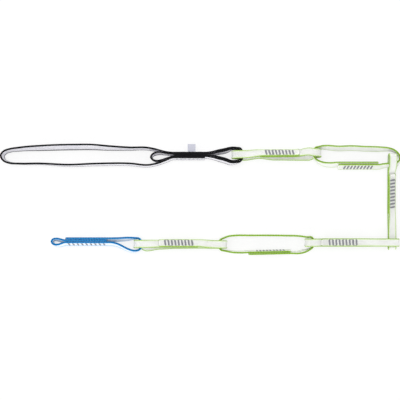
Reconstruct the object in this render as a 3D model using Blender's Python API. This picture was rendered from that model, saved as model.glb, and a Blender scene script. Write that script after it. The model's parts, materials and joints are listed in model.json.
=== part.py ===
"""Personal anchor chain: eight sewn rings of narrow webbing, linked one through the next.

A tie-in ring with black edges, six chain rings with green edges and an end ring with blue
edges lie on a table in a U. Each ring is one open strip of flat webbing, wound round with
its ends overlapping and held by a row of bar tacks. Rings stand on edge and lie flat by
turns, and each flat ring folds round the upright strand of its neighbour.

Lengths are millimetres until a mesh is made. +Z is up, +X runs along the chain's long
side, and the part rests on the plane z = 0, with its origin below the middle of its box.
"""

from collections import namedtuple
from math import ceil, cos, hypot, pi, radians, sin

import bmesh
import bpy
from mathutils import Matrix, Vector

MM = 0.001

# Webbing
WEBBING_WIDTH = 11.0
WEBBING_THICKNESS = 1.6
SELVEDGE_ROUND = 0.4
HALF_WIDTH = WEBBING_WIDTH / 2
HALF_THICK = WEBBING_THICKNESS / 2

# Room between pieces
FIT = 0.4  # between linked rings, and between the label and its seam
GREEN_GAP = 0.9  # between a chain ring's two sewn layers, whose woven edges are thicker still
CROSS_GAP = 0.8  # between the legs of the two flat rings that are hooked together
BLACK_GAP = 0.12  # the five layers of the tie-in ring's seam are pressed together
EYE_GAP = 0.8  # between the two layers of the tie-in ring's eye
EYE_SPREAD = 13.0  # from the seam to where they have spread that far
BLUE_GAP = 0.9  # the end ring's three layers stand off each other between the tacks

# Bar tacks
THREAD_THICKNESS = 0.5
THREAD_GAP = 0.25  # from the thread to the webbing's face
TACK_WIDTH = 1.8
TACK_MARGIN = 0.9  # from a tack's end to the webbing's edge
TRAVEL_WIDTH = 0.6  # the stitches that lead from one tack to the next
GREEN_TACKS, GREEN_SPACING = 9, 4.6
BLACK_TACKS, BLACK_SPACING = 7, 5.7
BLUE_TACKS, BLUE_SPACING = 9, 6.0
# How far each ring's tacks are sewn askew: along the webbing for each millimetre across it
TACK_SLANTS = {
    "tie_in": 0.14,
    "ring_1": -0.18,
    "ring_2": 0.28,
    "ring_3": -0.14,
    "ring_4": -0.08,
    "ring_5": 0.14,
    "ring_6": -0.16,
    "end": -0.25,
}

# Chain rings: how long each lies from end to end, and how far its sewn leg is tilted
RING_1_LENGTH, RING_1_TILT = 122.7, -34.0
RING_2_LENGTH = 118.0
RING_3_LENGTH, RING_3_TILT = 131.9, 38.0
RING_4_LENGTH, RING_4_TILT = 130.0, 0.0
RING_5_LENGTH = 128.6
RING_6_LENGTH, RING_6_TILT = 127.7, 22.0
OVERLAP = 55.0  # of the two ends of a chain ring's strip
RING_4_TAIL, RING_5_TAIL = 4.0, 3.2  # by how much their outer ends are longer
SEAM_LENGTH = 40.0  # the part of the overlap that the tacks keep flat
ARCH = 2.0  # how far the sewn leg of a flat ring springs up from the leg below it

# Links: from a fold's centre to the middle of the strand that it holds
SLACK_TIE_IN_1 = 5.0
SLACK_1_2 = 2.1
SLACK_2_3 = 7.2
SLACK_4_5 = 3.7
SLACK_5_6 = 2.5
SLACK_6_END = 2.1
CROSS_SLACK = 2.7  # from the edge of a flat ring to the fold of the flat ring on it
TIP_BOW = 1.2  # how far a strand bows along the chain inside a fold
FOLD_DRIFT = 0.6  # how far each leg lies off a fold's middle, sideways
LINK_LEAN = 27.0  # of ring 2's strand where ring 3 folds round it
RING_2_LEAN = 38.0  # of its sewn leg
CROSSING_IN = 4.8  # from the edge of ring 3's fold to the far end of ring 2
CROSSING_SIDE = 12.4  # of ring 2's lower leg there, from its tip
RING_1_SKEW = 1.0  # how much further ring 1's upper leg lies to the left in ring 2's tip
RING_5_SLANT, RING_5_SIDE = 0.022, 10.2  # of its sewn leg: its slope, and its place from the tip

# Tie-in ring, measured from the tip of its eye
TIE_IN_EYE = 49.5
TIE_IN_SEAM = 42.6
TIE_IN_LOOP = 237.2
TEARDROP = 31.5
TIE_IN_LEAN = 14.0

# End ring, measured from the tip of its loop
END_LOOP = 46.5
END_SEAM = 57.0
END_EYE = 19.0
END_SIDE = 5.8  # from the middle of the loop's tip to the seam, sideways
END_LEAN = 26.0

# Label
LABEL_LENGTH, LABEL_WIDTH, LABEL_THICKNESS = 9.2, 10.7, 0.9
LABEL_ALONG = 24.3  # from the seam's far end to the label's middle
LABEL_HEIGHT = 9.2
LABEL_CORNER = 1.2

# What follows from the sizes above
GREEN_PITCH = WEBBING_THICKNESS + GREEN_GAP
BLACK_PITCH = (WEBBING_THICKNESS + BLACK_GAP) / cos(radians(TIE_IN_LEAN))
BLUE_PITCH = (WEBBING_THICKNESS + BLUE_GAP) / cos(radians(END_LEAN))
EYE_PITCH = WEBBING_THICKNESS + EYE_GAP
THREAD_ROOM = THREAD_GAP + THREAD_THICKNESS
SINGLE_ROOM = hypot(HALF_WIDTH, (WEBBING_THICKNESS + TIP_BOW) / 2)
DOUBLE_ROOM = hypot(HALF_WIDTH, (WEBBING_THICKNESS + EYE_PITCH + TIP_BOW) / 2)
FOLD_INNER = DOUBLE_ROOM + FIT
FOLD_RADIUS = FOLD_INNER + HALF_THICK
FOLD_OUTER = FOLD_INNER + WEBBING_THICKNESS
SINGLE_HEIGHT = WEBBING_THICKNESS + SINGLE_ROOM + FIT / 2
DOUBLE_HEIGHT = WEBBING_THICKNESS + DOUBLE_ROOM + FIT / 2
CROSS_PITCH = WEBBING_THICKNESS + CROSS_GAP
TIP_SIDE = HALF_WIDTH + FOLD_DRIFT + FIT + HALF_THICK

GREY, WHITE, GREEN, BLACK, BLUE = "#8e8e94", "#e9e9ea", "#8db04a", "#1b1b20", "#1569a8"

End = namedtuple("End", "radius base hold")
Station = namedtuple("Station", "middle across face")


def linear(colour):
    """An sRGB hex colour as linear RGBA."""
    levels = [int(colour[i : i + 2], 16) / 255 for i in (1, 3, 5)]
    return [v / 12.92 if v <= 0.04045 else ((v + 0.055) / 1.055) ** 2.4 for v in levels] + [1.0]


def material(name, colour, roughness):
    made = bpy.data.materials.new(name)
    made.use_nodes = True
    shader = made.node_tree.nodes["Principled BSDF"]
    shader.inputs["Base Color"].default_value = linear(colour)
    shader.inputs["Roughness"].default_value = roughness
    shader.inputs["Metallic"].default_value = 0.0
    made.diffuse_color = linear(colour)
    return made


def body(name, place):
    """An empty on a body's joint, which carries the body's pieces."""
    made = bpy.data.objects.new(name, None)
    bpy.context.collection.objects.link(made)
    made.empty_display_size = 10 * MM
    made.location = Vector(place) * MM
    return made


def piece(name, mesh, surfaces, carrier):
    """An object of a closed mesh, with its origin on its carrier's joint."""
    bmesh.ops.recalc_face_normals(mesh, faces=mesh.faces)
    bmesh.ops.translate(mesh, verts=mesh.verts, vec=-carrier.location)
    data = bpy.data.meshes.new(name)
    mesh.to_mesh(data)
    mesh.free()
    data.shade_smooth()
    data.set_sharp_from_angle(angle=radians(40))
    for surface in surfaces:
        data.materials.append(surface)
    made = bpy.data.objects.new(name, data)
    bpy.context.collection.objects.link(made)
    made.parent = carrier
    return made


def ease(t):
    """A smooth step from 0 to 1."""
    t = min(max(t, 0.0), 1.0)
    return t * t * (3 - 2 * t)


def look_up(table, at):
    """The value at a place, smoothly between a table's (place, value) pairs."""
    for (a, low), (b, high) in zip(table, table[1:]):
        if at <= b:
            return low + (high - low) * ease((at - a) / (b - a))
    return table[-1][1]


def spline(knots, start, end, step=2.6):
    """Points on a smooth line through knots, each a plan place and the values that vary along it.

    start and end are the directions in which the line sets out and arrives.
    """
    spans = [hypot(b[0] - a[0], b[1] - a[1]) for a, b in zip(knots, knots[1:])]
    level = (0.0,) * (len(knots[0]) - 2)
    slopes = [(*start, *level)]
    for i in range(1, len(knots) - 1):
        before, after = spans[i - 1], spans[i]
        slopes.append(
            tuple(
                ((here - last) / before * after + (following - here) / after * before) / (before + after)
                for last, here, following in zip(knots[i - 1], knots[i], knots[i + 1])
            )
        )
    slopes.append((*end, *level))
    points = []
    for a, b, ahead, arrive, span in zip(knots, knots[1:], slopes, slopes[1:], spans):
        count = max(2, ceil(span / step))
        for n in range(count):
            t = n / count
            h = (2 * t**3 - 3 * t**2 + 1, t**3 - 2 * t**2 + t, 3 * t**2 - 2 * t**3, t**3 - t**2)
            points.append(
                tuple(
                    h[0] * p + h[1] * span * m + h[2] * q + h[3] * span * k
                    for p, m, q, k in zip(a, ahead, b, arrive)
                )
            )
    return points + [tuple(knots[-1])]


def inside(points):
    """The eye's line, which turns clockwise, moved inwards by a layer."""
    runs = [hypot(b[0] - a[0], b[1] - a[1]) for a, b in zip(points, points[1:])]
    moved = []
    for i, (x, y, lean, *rest) in enumerate(points):
        a, b = points[max(i - 1, 0)], points[min(i + 1, len(points) - 1)]
        span = hypot(b[0] - a[0], b[1] - a[1])
        spread_by = ease(min(sum(runs[:i]), sum(runs[i:])) / EYE_SPREAD)
        pitch = WEBBING_THICKNESS + BLACK_GAP + (EYE_GAP - BLACK_GAP) * spread_by
        shift = pitch / cos(radians(lean)) / span
        moved.append((x + (b[1] - a[1]) * shift, y - (b[0] - a[0]) * shift, lean, *rest))
    return moved


def thinned(stations, gap):
    """The stations without those that lie on the straight run between their neighbours.

    gap is the least room beside the strip, of which the thinning takes a small share.
    """
    within = min(gap, FIT) / 8
    kept = [stations[0]]
    for station, following in zip(stations[1:], stations[2:]):
        last = kept[-1]
        run = following.middle - last.middle
        part = (station.middle - last.middle).dot(run) / run.length_squared
        off = (last.middle + run * part - station.middle).length
        turn = (last.across.lerp(following.across, part) - station.across).length * HALF_WIDTH
        if off > within or turn > 3 * within or run.length > 25:
            kept.append(station)
    return kept + [stations[-1]]


def strip(name, stations, gap, selvedge, carrier):
    """A closed strip of webbing along stations, its faces one surface and its edges another."""
    w, t, r = HALF_WIDTH, HALF_THICK, SELVEDGE_ROUND
    half = ((w, t - r), (w, r - t), (w - r, -t), (r - w, -t))
    section = half + tuple((-a, -b) for a, b in half)
    faces_of_webbing = (2, 6)
    mesh = bmesh.new()
    rows = [
        [mesh.verts.new((s.middle + s.across * a + s.face * b) * MM) for a, b in section]
        for s in thinned(stations, gap)
    ]
    for row, following in zip(rows, rows[1:]):
        for i in range(len(section)):
            j = (i + 1) % len(section)
            face = mesh.faces.new((row[i], row[j], following[j], following[i]))
            face.material_index = 0 if i in faces_of_webbing else 1
    mesh.faces.new(rows[0][::-1])
    mesh.faces.new(rows[-1])
    return piece(name, mesh, (white_webbing, selvedge), carrier)


def tack_outline(tacks, spacing, slant):
    """A row of bar tacks sewn up, over and down as one thread: its outline, out and back."""
    half, reach = TACK_WIDTH / 2, HALF_WIDTH - TACK_MARGIN
    out, back = [], []
    for i in range(tacks):
        at = (i - (tacks - 1) / 2) * spacing
        start = reach - TRAVEL_WIDTH if i else reach
        stop = reach - TRAVEL_WIDTH if i < tacks - 1 else reach
        if i % 2 == 0:
            out += [(at - half, -start), (at - half, reach)]
            back += [(at + half, -reach), (at + half, stop)]
        else:
            out += [(at + half, reach), (at + half, -stop)]
            back += [(at - half, start), (at - half, -reach)]
    return [(at + slant * across, across) for at, across in out + back[::-1]]


def seam(ring, thread, tacks, spacing, station, side, carrier):
    """Bar tacks on one face of the webbing, with their middle at a station."""
    along = station.across.cross(station.face)
    low = station.middle + station.face * (side * (HALF_THICK + THREAD_GAP))
    high = low + station.face * (side * THREAD_THICKNESS)
    mesh = bmesh.new()
    outline = tack_outline(tacks, spacing, TACK_SLANTS[ring])
    rows = [
        [mesh.verts.new((at + along * a + station.across * b) * MM) for a, b in outline] for at in (low, high)
    ]
    for i in range(len(rows[0])):
        mesh.faces.new((rows[0][i - 1], rows[0][i], rows[1][i], rows[1][i - 1]))
    for row in rows:
        mesh.faces.new(row)
    return piece(f"{ring}_{thread}_thread", mesh, (grey_thread,), carrier)


def sewn(ring, tacks, spacing, outer, inner, carrier):
    """The needle thread on a ring's outer layer and the bobbin thread on its inner one."""
    seam(ring, "needle", tacks, spacing, outer, 1, carrier)
    seam(ring, "bobbin", tacks, spacing, inner, -1, carrier)


def standing_station(place, heading, lean, lift):
    """A station of a strip that stands on edge: place is under its top edge."""
    left = Vector((-heading.y, heading.x, 0.0)).normalized()
    tip, turn = sin(radians(lean)), cos(radians(lean))
    height = lift + HALF_WIDTH * turn + HALF_THICK * abs(tip)
    middle = Vector((place[0], place[1], height)) - left * (HALF_WIDTH * tip)
    return Station(middle, Vector((0, 0, turn)) + left * tip, left * turn - Vector((0, 0, tip)))


def standing(points, origin):
    """Stations along plan points of (x, y, lean, lift), for a strip that stands on edge."""
    stations = []
    for i, (x, y, lean, lift) in enumerate(points):
        a, b = points[max(i - 1, 0)], points[min(i + 1, len(points) - 1)]
        heading = Vector((b[0] - a[0], b[1] - a[1], 0.0))
        stations.append(standing_station((origin[0] + x, origin[1] + y), heading, lean, max(lift, 0.0)))
    return stations


def lift_for(height, lean=0.0):
    """How far a leaning strand is lifted to have its middle at a height."""
    return height - HALF_WIDTH * cos(radians(lean)) - HALF_THICK * abs(sin(radians(lean)))


def loop_tip(across, side, height):
    """Knots up the near tip of a standing loop, where a flat ring's fold goes through."""
    lift = lift_for(height)
    return [
        (2.3, across - side, 0, lift),
        (0.25, across - side + 2.7, 0, lift),
        (0, across, 0, lift),
        (0.25, across + side - 2.7, 0, lift),
        (2.3, across + side, 0, lift),
    ]


def far_tip(length, across, side, height):
    """The same knots at the far tip, from the top of the plan to its bottom."""
    return [(length - x, y, lean, lift) for x, y, lean, lift in reversed(loop_tip(across, side, height))]


def chain_loop(sewn_from, sewn_to, sewn_lean, way_round, tail=0.0):
    """A standing chain ring: its strip, from its inner end round to its outer end.

    sewn_from and sewn_to are the right and left ends of the sewn leg's inner layer, and
    way_round the knots from the one, round the ring, to the other. tail lengthens the outer end.
    """
    left = ((sewn_to[0] - sewn_from[0]) / OVERLAP, (sewn_to[1] - sewn_from[1]) / OVERLAP)
    shift = GREEN_PITCH / cos(radians(sewn_lean))
    outwards = (-left[1] * shift, left[0] * shift)
    inner = [(*sewn_from, sewn_lean, 0), (*sewn_to, sewn_lean, 0)]
    outer = [(x + outwards[0], y + outwards[1], lean, lift) for x, y, lean, lift in inner]
    round_it = spline([inner[1], *way_round, outer[0]], left, left)
    x, y, lean, lift = outer[1]
    end = (x + left[0] * tail, y + left[1] * tail, lean, lift)
    return inner, inner[:1] + round_it + [end], outer


def middle_of(ends, origin):
    """The station halfway along a straight sewn layer."""
    (a, b), lean = ends, ends[0][2]
    heading = Vector((b[0] - a[0], b[1] - a[1], 0.0))
    return standing_station((origin[0] + (a[0] + b[0]) / 2, origin[1] + (a[1] + b[1]) / 2), heading, lean, 0)


def flat_ring(
    ring, origin, heading, length, near, far, tilt, sewn_middle, top_drift, bottom_drift, carrier, tail=0.0
):
    """A chain ring that lies flat, its outer end coming over from its near fold.

    The drifts say how far the top and bottom legs lie to the left of the ring's line, and tail
    lengthens the outer end.
    """
    heading, left, up = Vector((*heading, 0)), Vector((-heading[1], heading[0], 0)), Vector((0, 0, 1))
    lean, dip = sin(radians(tilt)), cos(radians(tilt))
    near_centre, far_centre = near.radius + HALF_THICK, length - far.radius - HALF_THICK
    near_level, far_level = near_centre + near.hold, far_centre - far.hold
    start, stop = sewn_middle - OVERLAP / 2, sewn_middle + OVERLAP / 2
    seam_start, seam_stop = sewn_middle - SEAM_LENGTH / 2, sewn_middle + SEAM_LENGTH / 2
    near_top, far_top = near.base + 2 * near.radius, far.base + 2 * far.radius
    sewn_height = WEBBING_THICKNESS + ARCH + HALF_WIDTH * abs(lean) + (HALF_THICK + THREAD_ROOM) * dip
    heights = (
        (near_level, near_top),
        (seam_start, sewn_height),
        (seam_stop, sewn_height),
        (far_level, far_top),
    )
    tilts = ((near_level, 0.0), (seam_start, tilt), (seam_stop, tilt), (far_level, 0.0))
    bases = (
        (near_level, near.base),
        (near_level + 14, HALF_THICK),
        (far_level - 14, HALF_THICK),
        (far_level, far.base),
    )

    def spread(*stops, step=2.4):
        """Places from each stop to the following one, as far as the last."""
        places = []
        for a, b in zip(stops, stops[1:]):
            count = max(1, ceil(abs(b - a) / step))
            places += [a + (b - a) * n / count for n in range(count)]
        return places + [stops[-1]]

    def fold(end, centre, side, low_drift, high_drift, steps=10):
        """Half a turn round an end, from its lower leg to its upper leg."""
        return [
            (
                centre + side * end.radius * sin(pi * n / steps),
                end.base + end.radius * (1 - cos(pi * n / steps)),
                low_drift + (high_drift - low_drift) * n / steps,
                0.0,
                0.0,
            )
            for n in range(steps + 1)
        ]

    top = [
        (u, look_up(heights, u), look_up(top_drift, u), look_up(tilts, u), 0.0)
        for u in spread(start, seam_start, seam_stop, stop, far_level, far_centre)
    ]
    bottom = [
        (u, look_up(bases, u), look_up(bottom_drift, u), 0.0, 0.0)
        for u in spread(far_centre, near_centre)
    ]
    rises = ((near_level, 0.0), (start - 2, GREEN_PITCH))
    over = [
        (u, look_up(heights, u), look_up(top_drift, u), look_up(tilts, u), look_up(rises, u))
        for u in spread(near_centre, near_level, start, seam_start, seam_stop, stop + tail)
    ]
    far_drifts = [look_up(drift, far_centre) for drift in (bottom_drift, top_drift)]
    near_drifts = [look_up(drift, near_centre) for drift in (bottom_drift, top_drift)]
    far_fold = fold(far, far_centre, 1, *far_drifts)[::-1]
    near_fold = fold(near, near_centre, -1, *near_drifts)
    line = top + far_fold[1:] + bottom[1:] + near_fold[1:] + over[1:]
    places = [origin + heading * u + left * drift + up * height for u, height, drift, _, _ in line]
    stations = []
    for i, (place, (_, _, _, turn, rise)) in enumerate(zip(places, line)):
        along = (places[min(i + 1, len(places) - 1)] - places[max(i - 1, 0)]).normalized()
        across = (left - along * left.dot(along)).normalized()
        face = along.cross(across)
        turned = Matrix.Rotation(radians(turn), 3, along)
        across, face = turned @ across, turned @ face
        stations.append(Station(place + face * rise, across, face))
    strip(ring + "_webbing", stations, GREEN_GAP, green_edge, carrier)
    across, face = left * dip + up * lean, up * dip - left * lean
    middle = origin + heading * sewn_middle + left * look_up(top_drift, sewn_middle) + up * sewn_height
    inner = Station(middle, across, face)
    outer = Station(middle + face * GREEN_PITCH, across, face)
    sewn(ring, GREEN_TACKS, GREEN_SPACING, outer, inner, carrier)


def round_strand(slack):
    """The end of a flat ring that folds round a standing strand."""
    return End(FOLD_RADIUS, HALF_THICK, slack)


def across_flat_ring(base):
    """The end of a flat ring that is hooked into another flat ring."""
    hold = 2 * CROSS_SLACK + WEBBING_WIDTH + HALF_THICK - CROSS_PITCH
    return End(CROSS_PITCH, base, hold)


def tie_in_ring(tip, carrier):
    """One strip: the lower tail, the big loop, the eye, the teardrop, the eye again, the inner tail."""
    right, left, lean, pitch = -TIE_IN_EYE, -TIE_IN_EYE - TIE_IN_SEAM, TIE_IN_LEAN, BLACK_PITCH
    end, drop = left - TIE_IN_LOOP, left - TEARDROP
    lift = lift_for(DOUBLE_HEIGHT)
    side, nose = TIP_SIDE + EYE_PITCH, EYE_PITCH / 2
    layers = [(2 - n) * pitch for n in range(5)]
    loop = [
        (left, layers[4], -lean, 0),
        (left - 12.3, -7.8, -13, 0),
        (left - 24.6, -11.7, -12, 0),
        (left - 32.9, -13.3, -12, 0),
        (left - 60.4, -11.4, -14, 0),
        (left - 108.5, -11.7, -13, 0),
        (left - 142.9, -13.2, -9, 0),
        (left - 184.1, -11.7, -3, 0),
        (end + 25.6, -11.9, 0, 0),
        (end + 11.8, -11.1, 4, 0),
        (end + 4.4, -8.2, 10, 0),
        (end + 0.8, -3.9, 18, 0),
        (end, 0, 22, 0),
        (end + 1.8, 3.2, 23, 0),
        (end + 5.6, 6.2, 22, 0),
        (end + 11.8, 8.3, 22, 0),
        (end + 25.6, 10.6, 27, 0),
        (end + 60, 13.8, 44, 0),
        (left - 136, 15.1, 48, 0),
        (left - 112, 15.0, 46, 0),
        (left - 88, 12.7, 34, 0),
        (left - 60.4, 10.6, 20, 0),
        (left - 35, 10.1, 16, 0),
        (left - 24.6, 8.0, lean, 0),
        (left - 9.5, 4.4, lean, 0),
        (left, layers[0], lean, 0),
    ]
    eye = [
        (right, layers[0], lean, 0),
        (right + 9.8, 4.7, lean, 0),
        (right + 18, 6.7, 17, 0),
        (right + 27.6, 8.7, 18, 0),
        (-16.5, side + 0.2, 12, lift / 2),
        (-11.5, side + 0.5, 2, lift),
        (-6, side, 0, lift),
        (nose - 2.3, side - 0.9, 0, lift),
        (nose - 0.25, side - 3.9, 0, lift),
        (nose, 0, 0, lift),
        (nose - 0.25, 3.9 - side, 0, lift),
        (nose - 2.3, 0.9 - side, 0, lift),
        (-7.5, -side - 0.6, -8, lift),
        (-14, -side - 0.4, -16, lift / 2),
        (right + 27.6, -7.2, -19, 0),
        (right + 20.8, -5.4, -18, 0),
        (right + 11, -3.2, -lean, 0),
        (right, layers[3], -lean, 0),
    ]
    teardrop = [
        (left, layers[3], -lean, 0),
        (left - 9.5, -4.0, -lean, 0),
        (left - 16.4, -6.6, -10, 0),
        (left - 23.3, -8.0, -6, 0),
        (drop + 2.7, -6.6, 0, 0),
        (drop, -3.2, 8, 0),
        (drop + 1.8, 0.8, 14, 0),
        (drop + 6.2, 3.4, 18, 0),
        (left - 19.8, 4.1, 18, 0),
        (left - 12.3, 2.8, lean, 0),
        (left, layers[1], lean, 0),
    ]
    east, west = (1.0, 0.0), (-1.0, 0.0)
    outer_eye = spline(eye, east, west)
    inner_eye = inside(outer_eye)
    line = [(right, layers[4], -lean, 0)]
    line += spline(loop, west, east)
    line += outer_eye
    line += spline(teardrop, west, east)
    line += inner_eye
    line += [(left, layers[2], -lean, 0)]
    strip("tie_in_webbing", standing(line, tip), BLACK_GAP, black_edge, carrier)
    top = middle_of([(left, layers[0], lean), (right, layers[0], lean)], tip)
    low = middle_of([(right, layers[4], -lean), (left, layers[4], -lean)], tip)
    seam("tie_in", "needle", BLACK_TACKS, BLACK_SPACING, low, 1, carrier)
    seam("tie_in", "bobbin", BLACK_TACKS, BLACK_SPACING, top, 1, carrier)
    return top


def end_ring(tip, carrier):
    """One strip: the upper tail, the loop, the small eye, and back between the two to the inner tail."""
    right, left, lean, pitch = -END_LOOP, -END_LOOP - END_SEAM, END_LEAN, BLUE_PITCH
    upper, inner, lower = END_SIDE + pitch, END_SIDE, END_SIDE - pitch
    end = left - END_EYE
    tip_knots = far_tip(0.0, 0.0, TIP_SIDE, SINGLE_HEIGHT)
    loop = [
        (right, upper, lean, 0),
        (right + 17.2, 8.8, lean, 0),
        (right + 28.2, 9.3, 22, 0),
        (-9.5, 8.8, 10, lift_for(SINGLE_HEIGHT)),
        *tip_knots,
        (-7.5, -8.6, -8, lift_for(SINGLE_HEIGHT)),
        (-12.4, -8.1, -14, 1),
        (-18, -6.1, -18, 0),
        (-22.4, -3.9, -20, 0),
        (-28, -0.9, -22, 0),
        (-34, 1.6, -24, 0),
        (-40, 2.8, -lean, 0),
        (right, lower, -lean, 0),
    ]
    eye = [
        (left, lower, -lean, 0),
        (left - 4.2, 1.9, -24, 0),
        (left - 9, 0.1, -18, 0),
        (left - 13.8, -0.4, -8, 0),
        (end + 1.5, 1.0, 4, 0),
        (end, 3.85, 10, 0),
        (end + 1.4, 6.6, 14, 0),
        (left - 12.4, 8.0, 18, 0),
        (left - 6.9, 7.2, 22, 0),
        (left, inner, lean, 0),
    ]
    line = [(left, upper, lean, 0)]
    line += spline(loop, (1.0, 0.0), (-1.0, 0.0))
    line += spline(eye, (-1.0, 0.0), (1.0, 0.0))
    line += [(right, inner, lean, 0)]
    strip("end_webbing", standing(line, tip), BLUE_GAP, blue_edge, carrier)
    low = middle_of([(right, lower, -lean), (left, lower, -lean)], tip)
    top = middle_of([(left, upper, lean), (right, upper, lean)], tip)
    seam("end", "needle", BLUE_TACKS, BLUE_SPACING, low, 1, carrier)
    seam("end", "bobbin", BLUE_TACKS, BLUE_SPACING, top, 1, carrier)


def ring_2(tip, carrier):
    """The chain ring that stands between the flat rings 1 and 3."""
    hang, link = lift_for(SINGLE_HEIGHT), lift_for(SINGLE_HEIGHT, LINK_LEAN)
    length, crossing = RING_2_LENGTH, RING_2_LENGTH - HALF_WIDTH - CROSSING_IN
    middle, across, below = 61.0, -11.3, -CROSSING_SIDE
    way_round = [
        (23, -12.1, -34, 0),
        (14.6, -11.8, -26, 0),
        (7.2, -TIP_SIDE - 2.7, -14, hang),
        *loop_tip(RING_1_SKEW / 2, TIP_SIDE + RING_1_SKEW / 2, SINGLE_HEIGHT),
        (6.2, TIP_SIDE + 2.2, 12, hang),
        (10.5, 10.8, 22, 0),
        (17, 11.5, 30, 0),
        (33.8, 10.6, 36, 0),
        (50.3, 11.1, 36, 0),
        (71, 10.2, 36, 0),
        (length - 26.4, 9.4, 34, 0),
        (length - 16.8, 8.2, 22, 0),
        (length - 9.5, 5.9, 12, 0),
        (length - 4.2, 1.9, 5, 0),
        (length - 0.7, -3.2, 0, 0),
        (length - 0.9, -7.4, -8, link / 2),
        (length - 3.4, -10.8, -20, link),
        (crossing + HALF_WIDTH, below + 0.6, -LINK_LEAN, link),
        (crossing, below, -LINK_LEAN, link),
        (crossing - HALF_WIDTH, below - 0.5, -LINK_LEAN, link),
        (length - 24, -13.7, -34, 0),
    ]
    ends = (middle + OVERLAP / 2, across), (middle - OVERLAP / 2, across)
    inner, line, outer = chain_loop(*ends, -RING_2_LEAN, way_round)
    strip("ring_2_webbing", standing(line, tip), GREEN_GAP, green_edge, carrier)
    sewn("ring_2", GREEN_TACKS, GREEN_SPACING, middle_of(outer, tip), middle_of(inner, tip), carrier)
    return crossing, below - HALF_WIDTH * sin(radians(LINK_LEAN))


def ring_5(tip, far_across, carrier):
    """The chain ring that stands between the flat rings 4 and 6; tip is its left end."""
    hang = lift_for(SINGLE_HEIGHT)
    length = RING_5_LENGTH
    way_round = [
        (29.8, -11.3, 8, 0),
        (18, -10.7, 6, 0),
        (11.5, -9.5, 4, 0),
        (6.2, -TIP_SIDE - 1.0, 0, hang),
        *loop_tip(0.0, TIP_SIDE, SINGLE_HEIGHT),
        (6.2, TIP_SIDE + 1.8, 0, hang),
        (12, 11.2, 0, 0),
        (20.5, 12.3, 0, 0),
        (42, 12.5, 0, 0),
        (length - 38, 12.2, 0, 0),
        (length - 17.6, 11.5, 0, 0),
        (length - 9, far_across + TIP_SIDE + 0.4, 0, hang),
        *far_tip(length, far_across, TIP_SIDE, SINGLE_HEIGHT),
        (length - 5.4, far_across - TIP_SIDE - 2.5, 8, hang),
        (length - 9.1, -9.6, 14, 0),
        (length - 14.1, -11.4, 17, 0),
        (length - 21, -12.4, 14, 0),
    ]
    middle, half = 70.4, OVERLAP / 2
    ends = [(middle + way * half, way * RING_5_SLANT * half - RING_5_SIDE) for way in (1, -1)]
    inner, line, outer = chain_loop(*ends, 10, way_round, RING_5_TAIL)
    strip("ring_5_webbing", standing(line, tip), GREEN_GAP, green_edge, carrier)
    sewn("ring_5", GREEN_TACKS, GREEN_SPACING, middle_of(outer, tip), middle_of(inner, tip), carrier)


def label(carrier):
    """A folded tape, held flat by its root in the seam."""
    root = carrier.location / MM
    half, r = LABEL_WIDTH / 2, LABEL_CORNER
    outline = [(-half, 0.0), (half, 0.0)]
    for centre, start in (((half - r, LABEL_LENGTH - r), 0), ((r - half, LABEL_LENGTH - r), 90)):
        outline += [
            (centre[0] + r * cos(radians(start + step)), centre[1] + r * sin(radians(start + step)))
            for step in (0, 30, 60, 90)
        ]
    mesh = bmesh.new()
    rows = [
        [mesh.verts.new((root + Vector((x, y, z))) * MM) for x, y in outline]
        for z in (-LABEL_THICKNESS / 2, LABEL_THICKNESS / 2)
    ]
    for i in range(len(outline)):
        mesh.faces.new((rows[0][i - 1], rows[0][i], rows[1][i], rows[1][i - 1]))
    for row in rows:
        mesh.faces.new(row)
    piece("label_tab", mesh, (label_tape,), carrier)


def centre_on_floor(carriers):
    """Moves the part so that its box stands on the origin."""
    bpy.context.view_layer.update()
    points = [o.matrix_world @ v.co for o in bpy.data.objects if o.type == "MESH" for v in o.data.vertices]
    low, high = (Vector([pick(p[k] for p in points) for k in range(3)]) for pick in (min, max))
    shift = Vector(((low.x + high.x) / 2, (low.y + high.y) / 2, low.z))
    for carrier in carriers:
        carrier.location -= shift
    bpy.context.view_layer.update()


for old in list(bpy.data.objects):
    bpy.data.objects.remove(old, do_unlink=True)

white_webbing = material("white woven webbing", WHITE, 0.8)
green_edge = material("green woven selvedge", GREEN, 0.8)
black_edge = material("black woven selvedge", BLACK, 0.8)
blue_edge = material("blue woven selvedge", BLUE, 0.8)
grey_thread = material("grey sewing thread", GREY, 0.6)
label_tape = material("white label tape", WHITE, 0.6)

EAST, NORTH, WEST = (1, 0), (0, 1), (-1, 0)

# The chain is laid out from the tip of the tie-in ring's eye, ring by ring
tie_in_tip = Vector((0.0, 0.0, 0.0))
tie_in = body("tie_in", (0, 0, 0))
seam_top = tie_in_ring(tie_in_tip, tie_in)

ring_1_start = tie_in_tip + Vector((-SLACK_TIE_IN_1 - FOLD_OUTER, 0, 0))
ring_1_rise = 1.65  # how far its far end lies to the left of its near end
ring_1 = body("ring_1", (tie_in_tip.x, tie_in_tip.y, DOUBLE_HEIGHT))
flat_ring(
    "ring_1",
    ring_1_start,
    EAST,
    RING_1_LENGTH,
    round_strand(SLACK_TIE_IN_1),
    round_strand(SLACK_1_2),
    RING_1_TILT,
    65.6,
    (
        (FOLD_OUTER, FOLD_DRIFT),
        (40, 1.3),
        (86, 1.6),
        (105, 4.4),
        (RING_1_LENGTH - FOLD_OUTER, ring_1_rise + FOLD_DRIFT + RING_1_SKEW),
    ),
    (
        (FOLD_OUTER, -FOLD_DRIFT),
        (17, -2.3),
        (38, 0.3),
        (60, -1.9),
        (RING_1_LENGTH - 17.5, -2.3),
        (RING_1_LENGTH - FOLD_OUTER, ring_1_rise - FOLD_DRIFT),
    ),
    ring_1,
)

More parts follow.
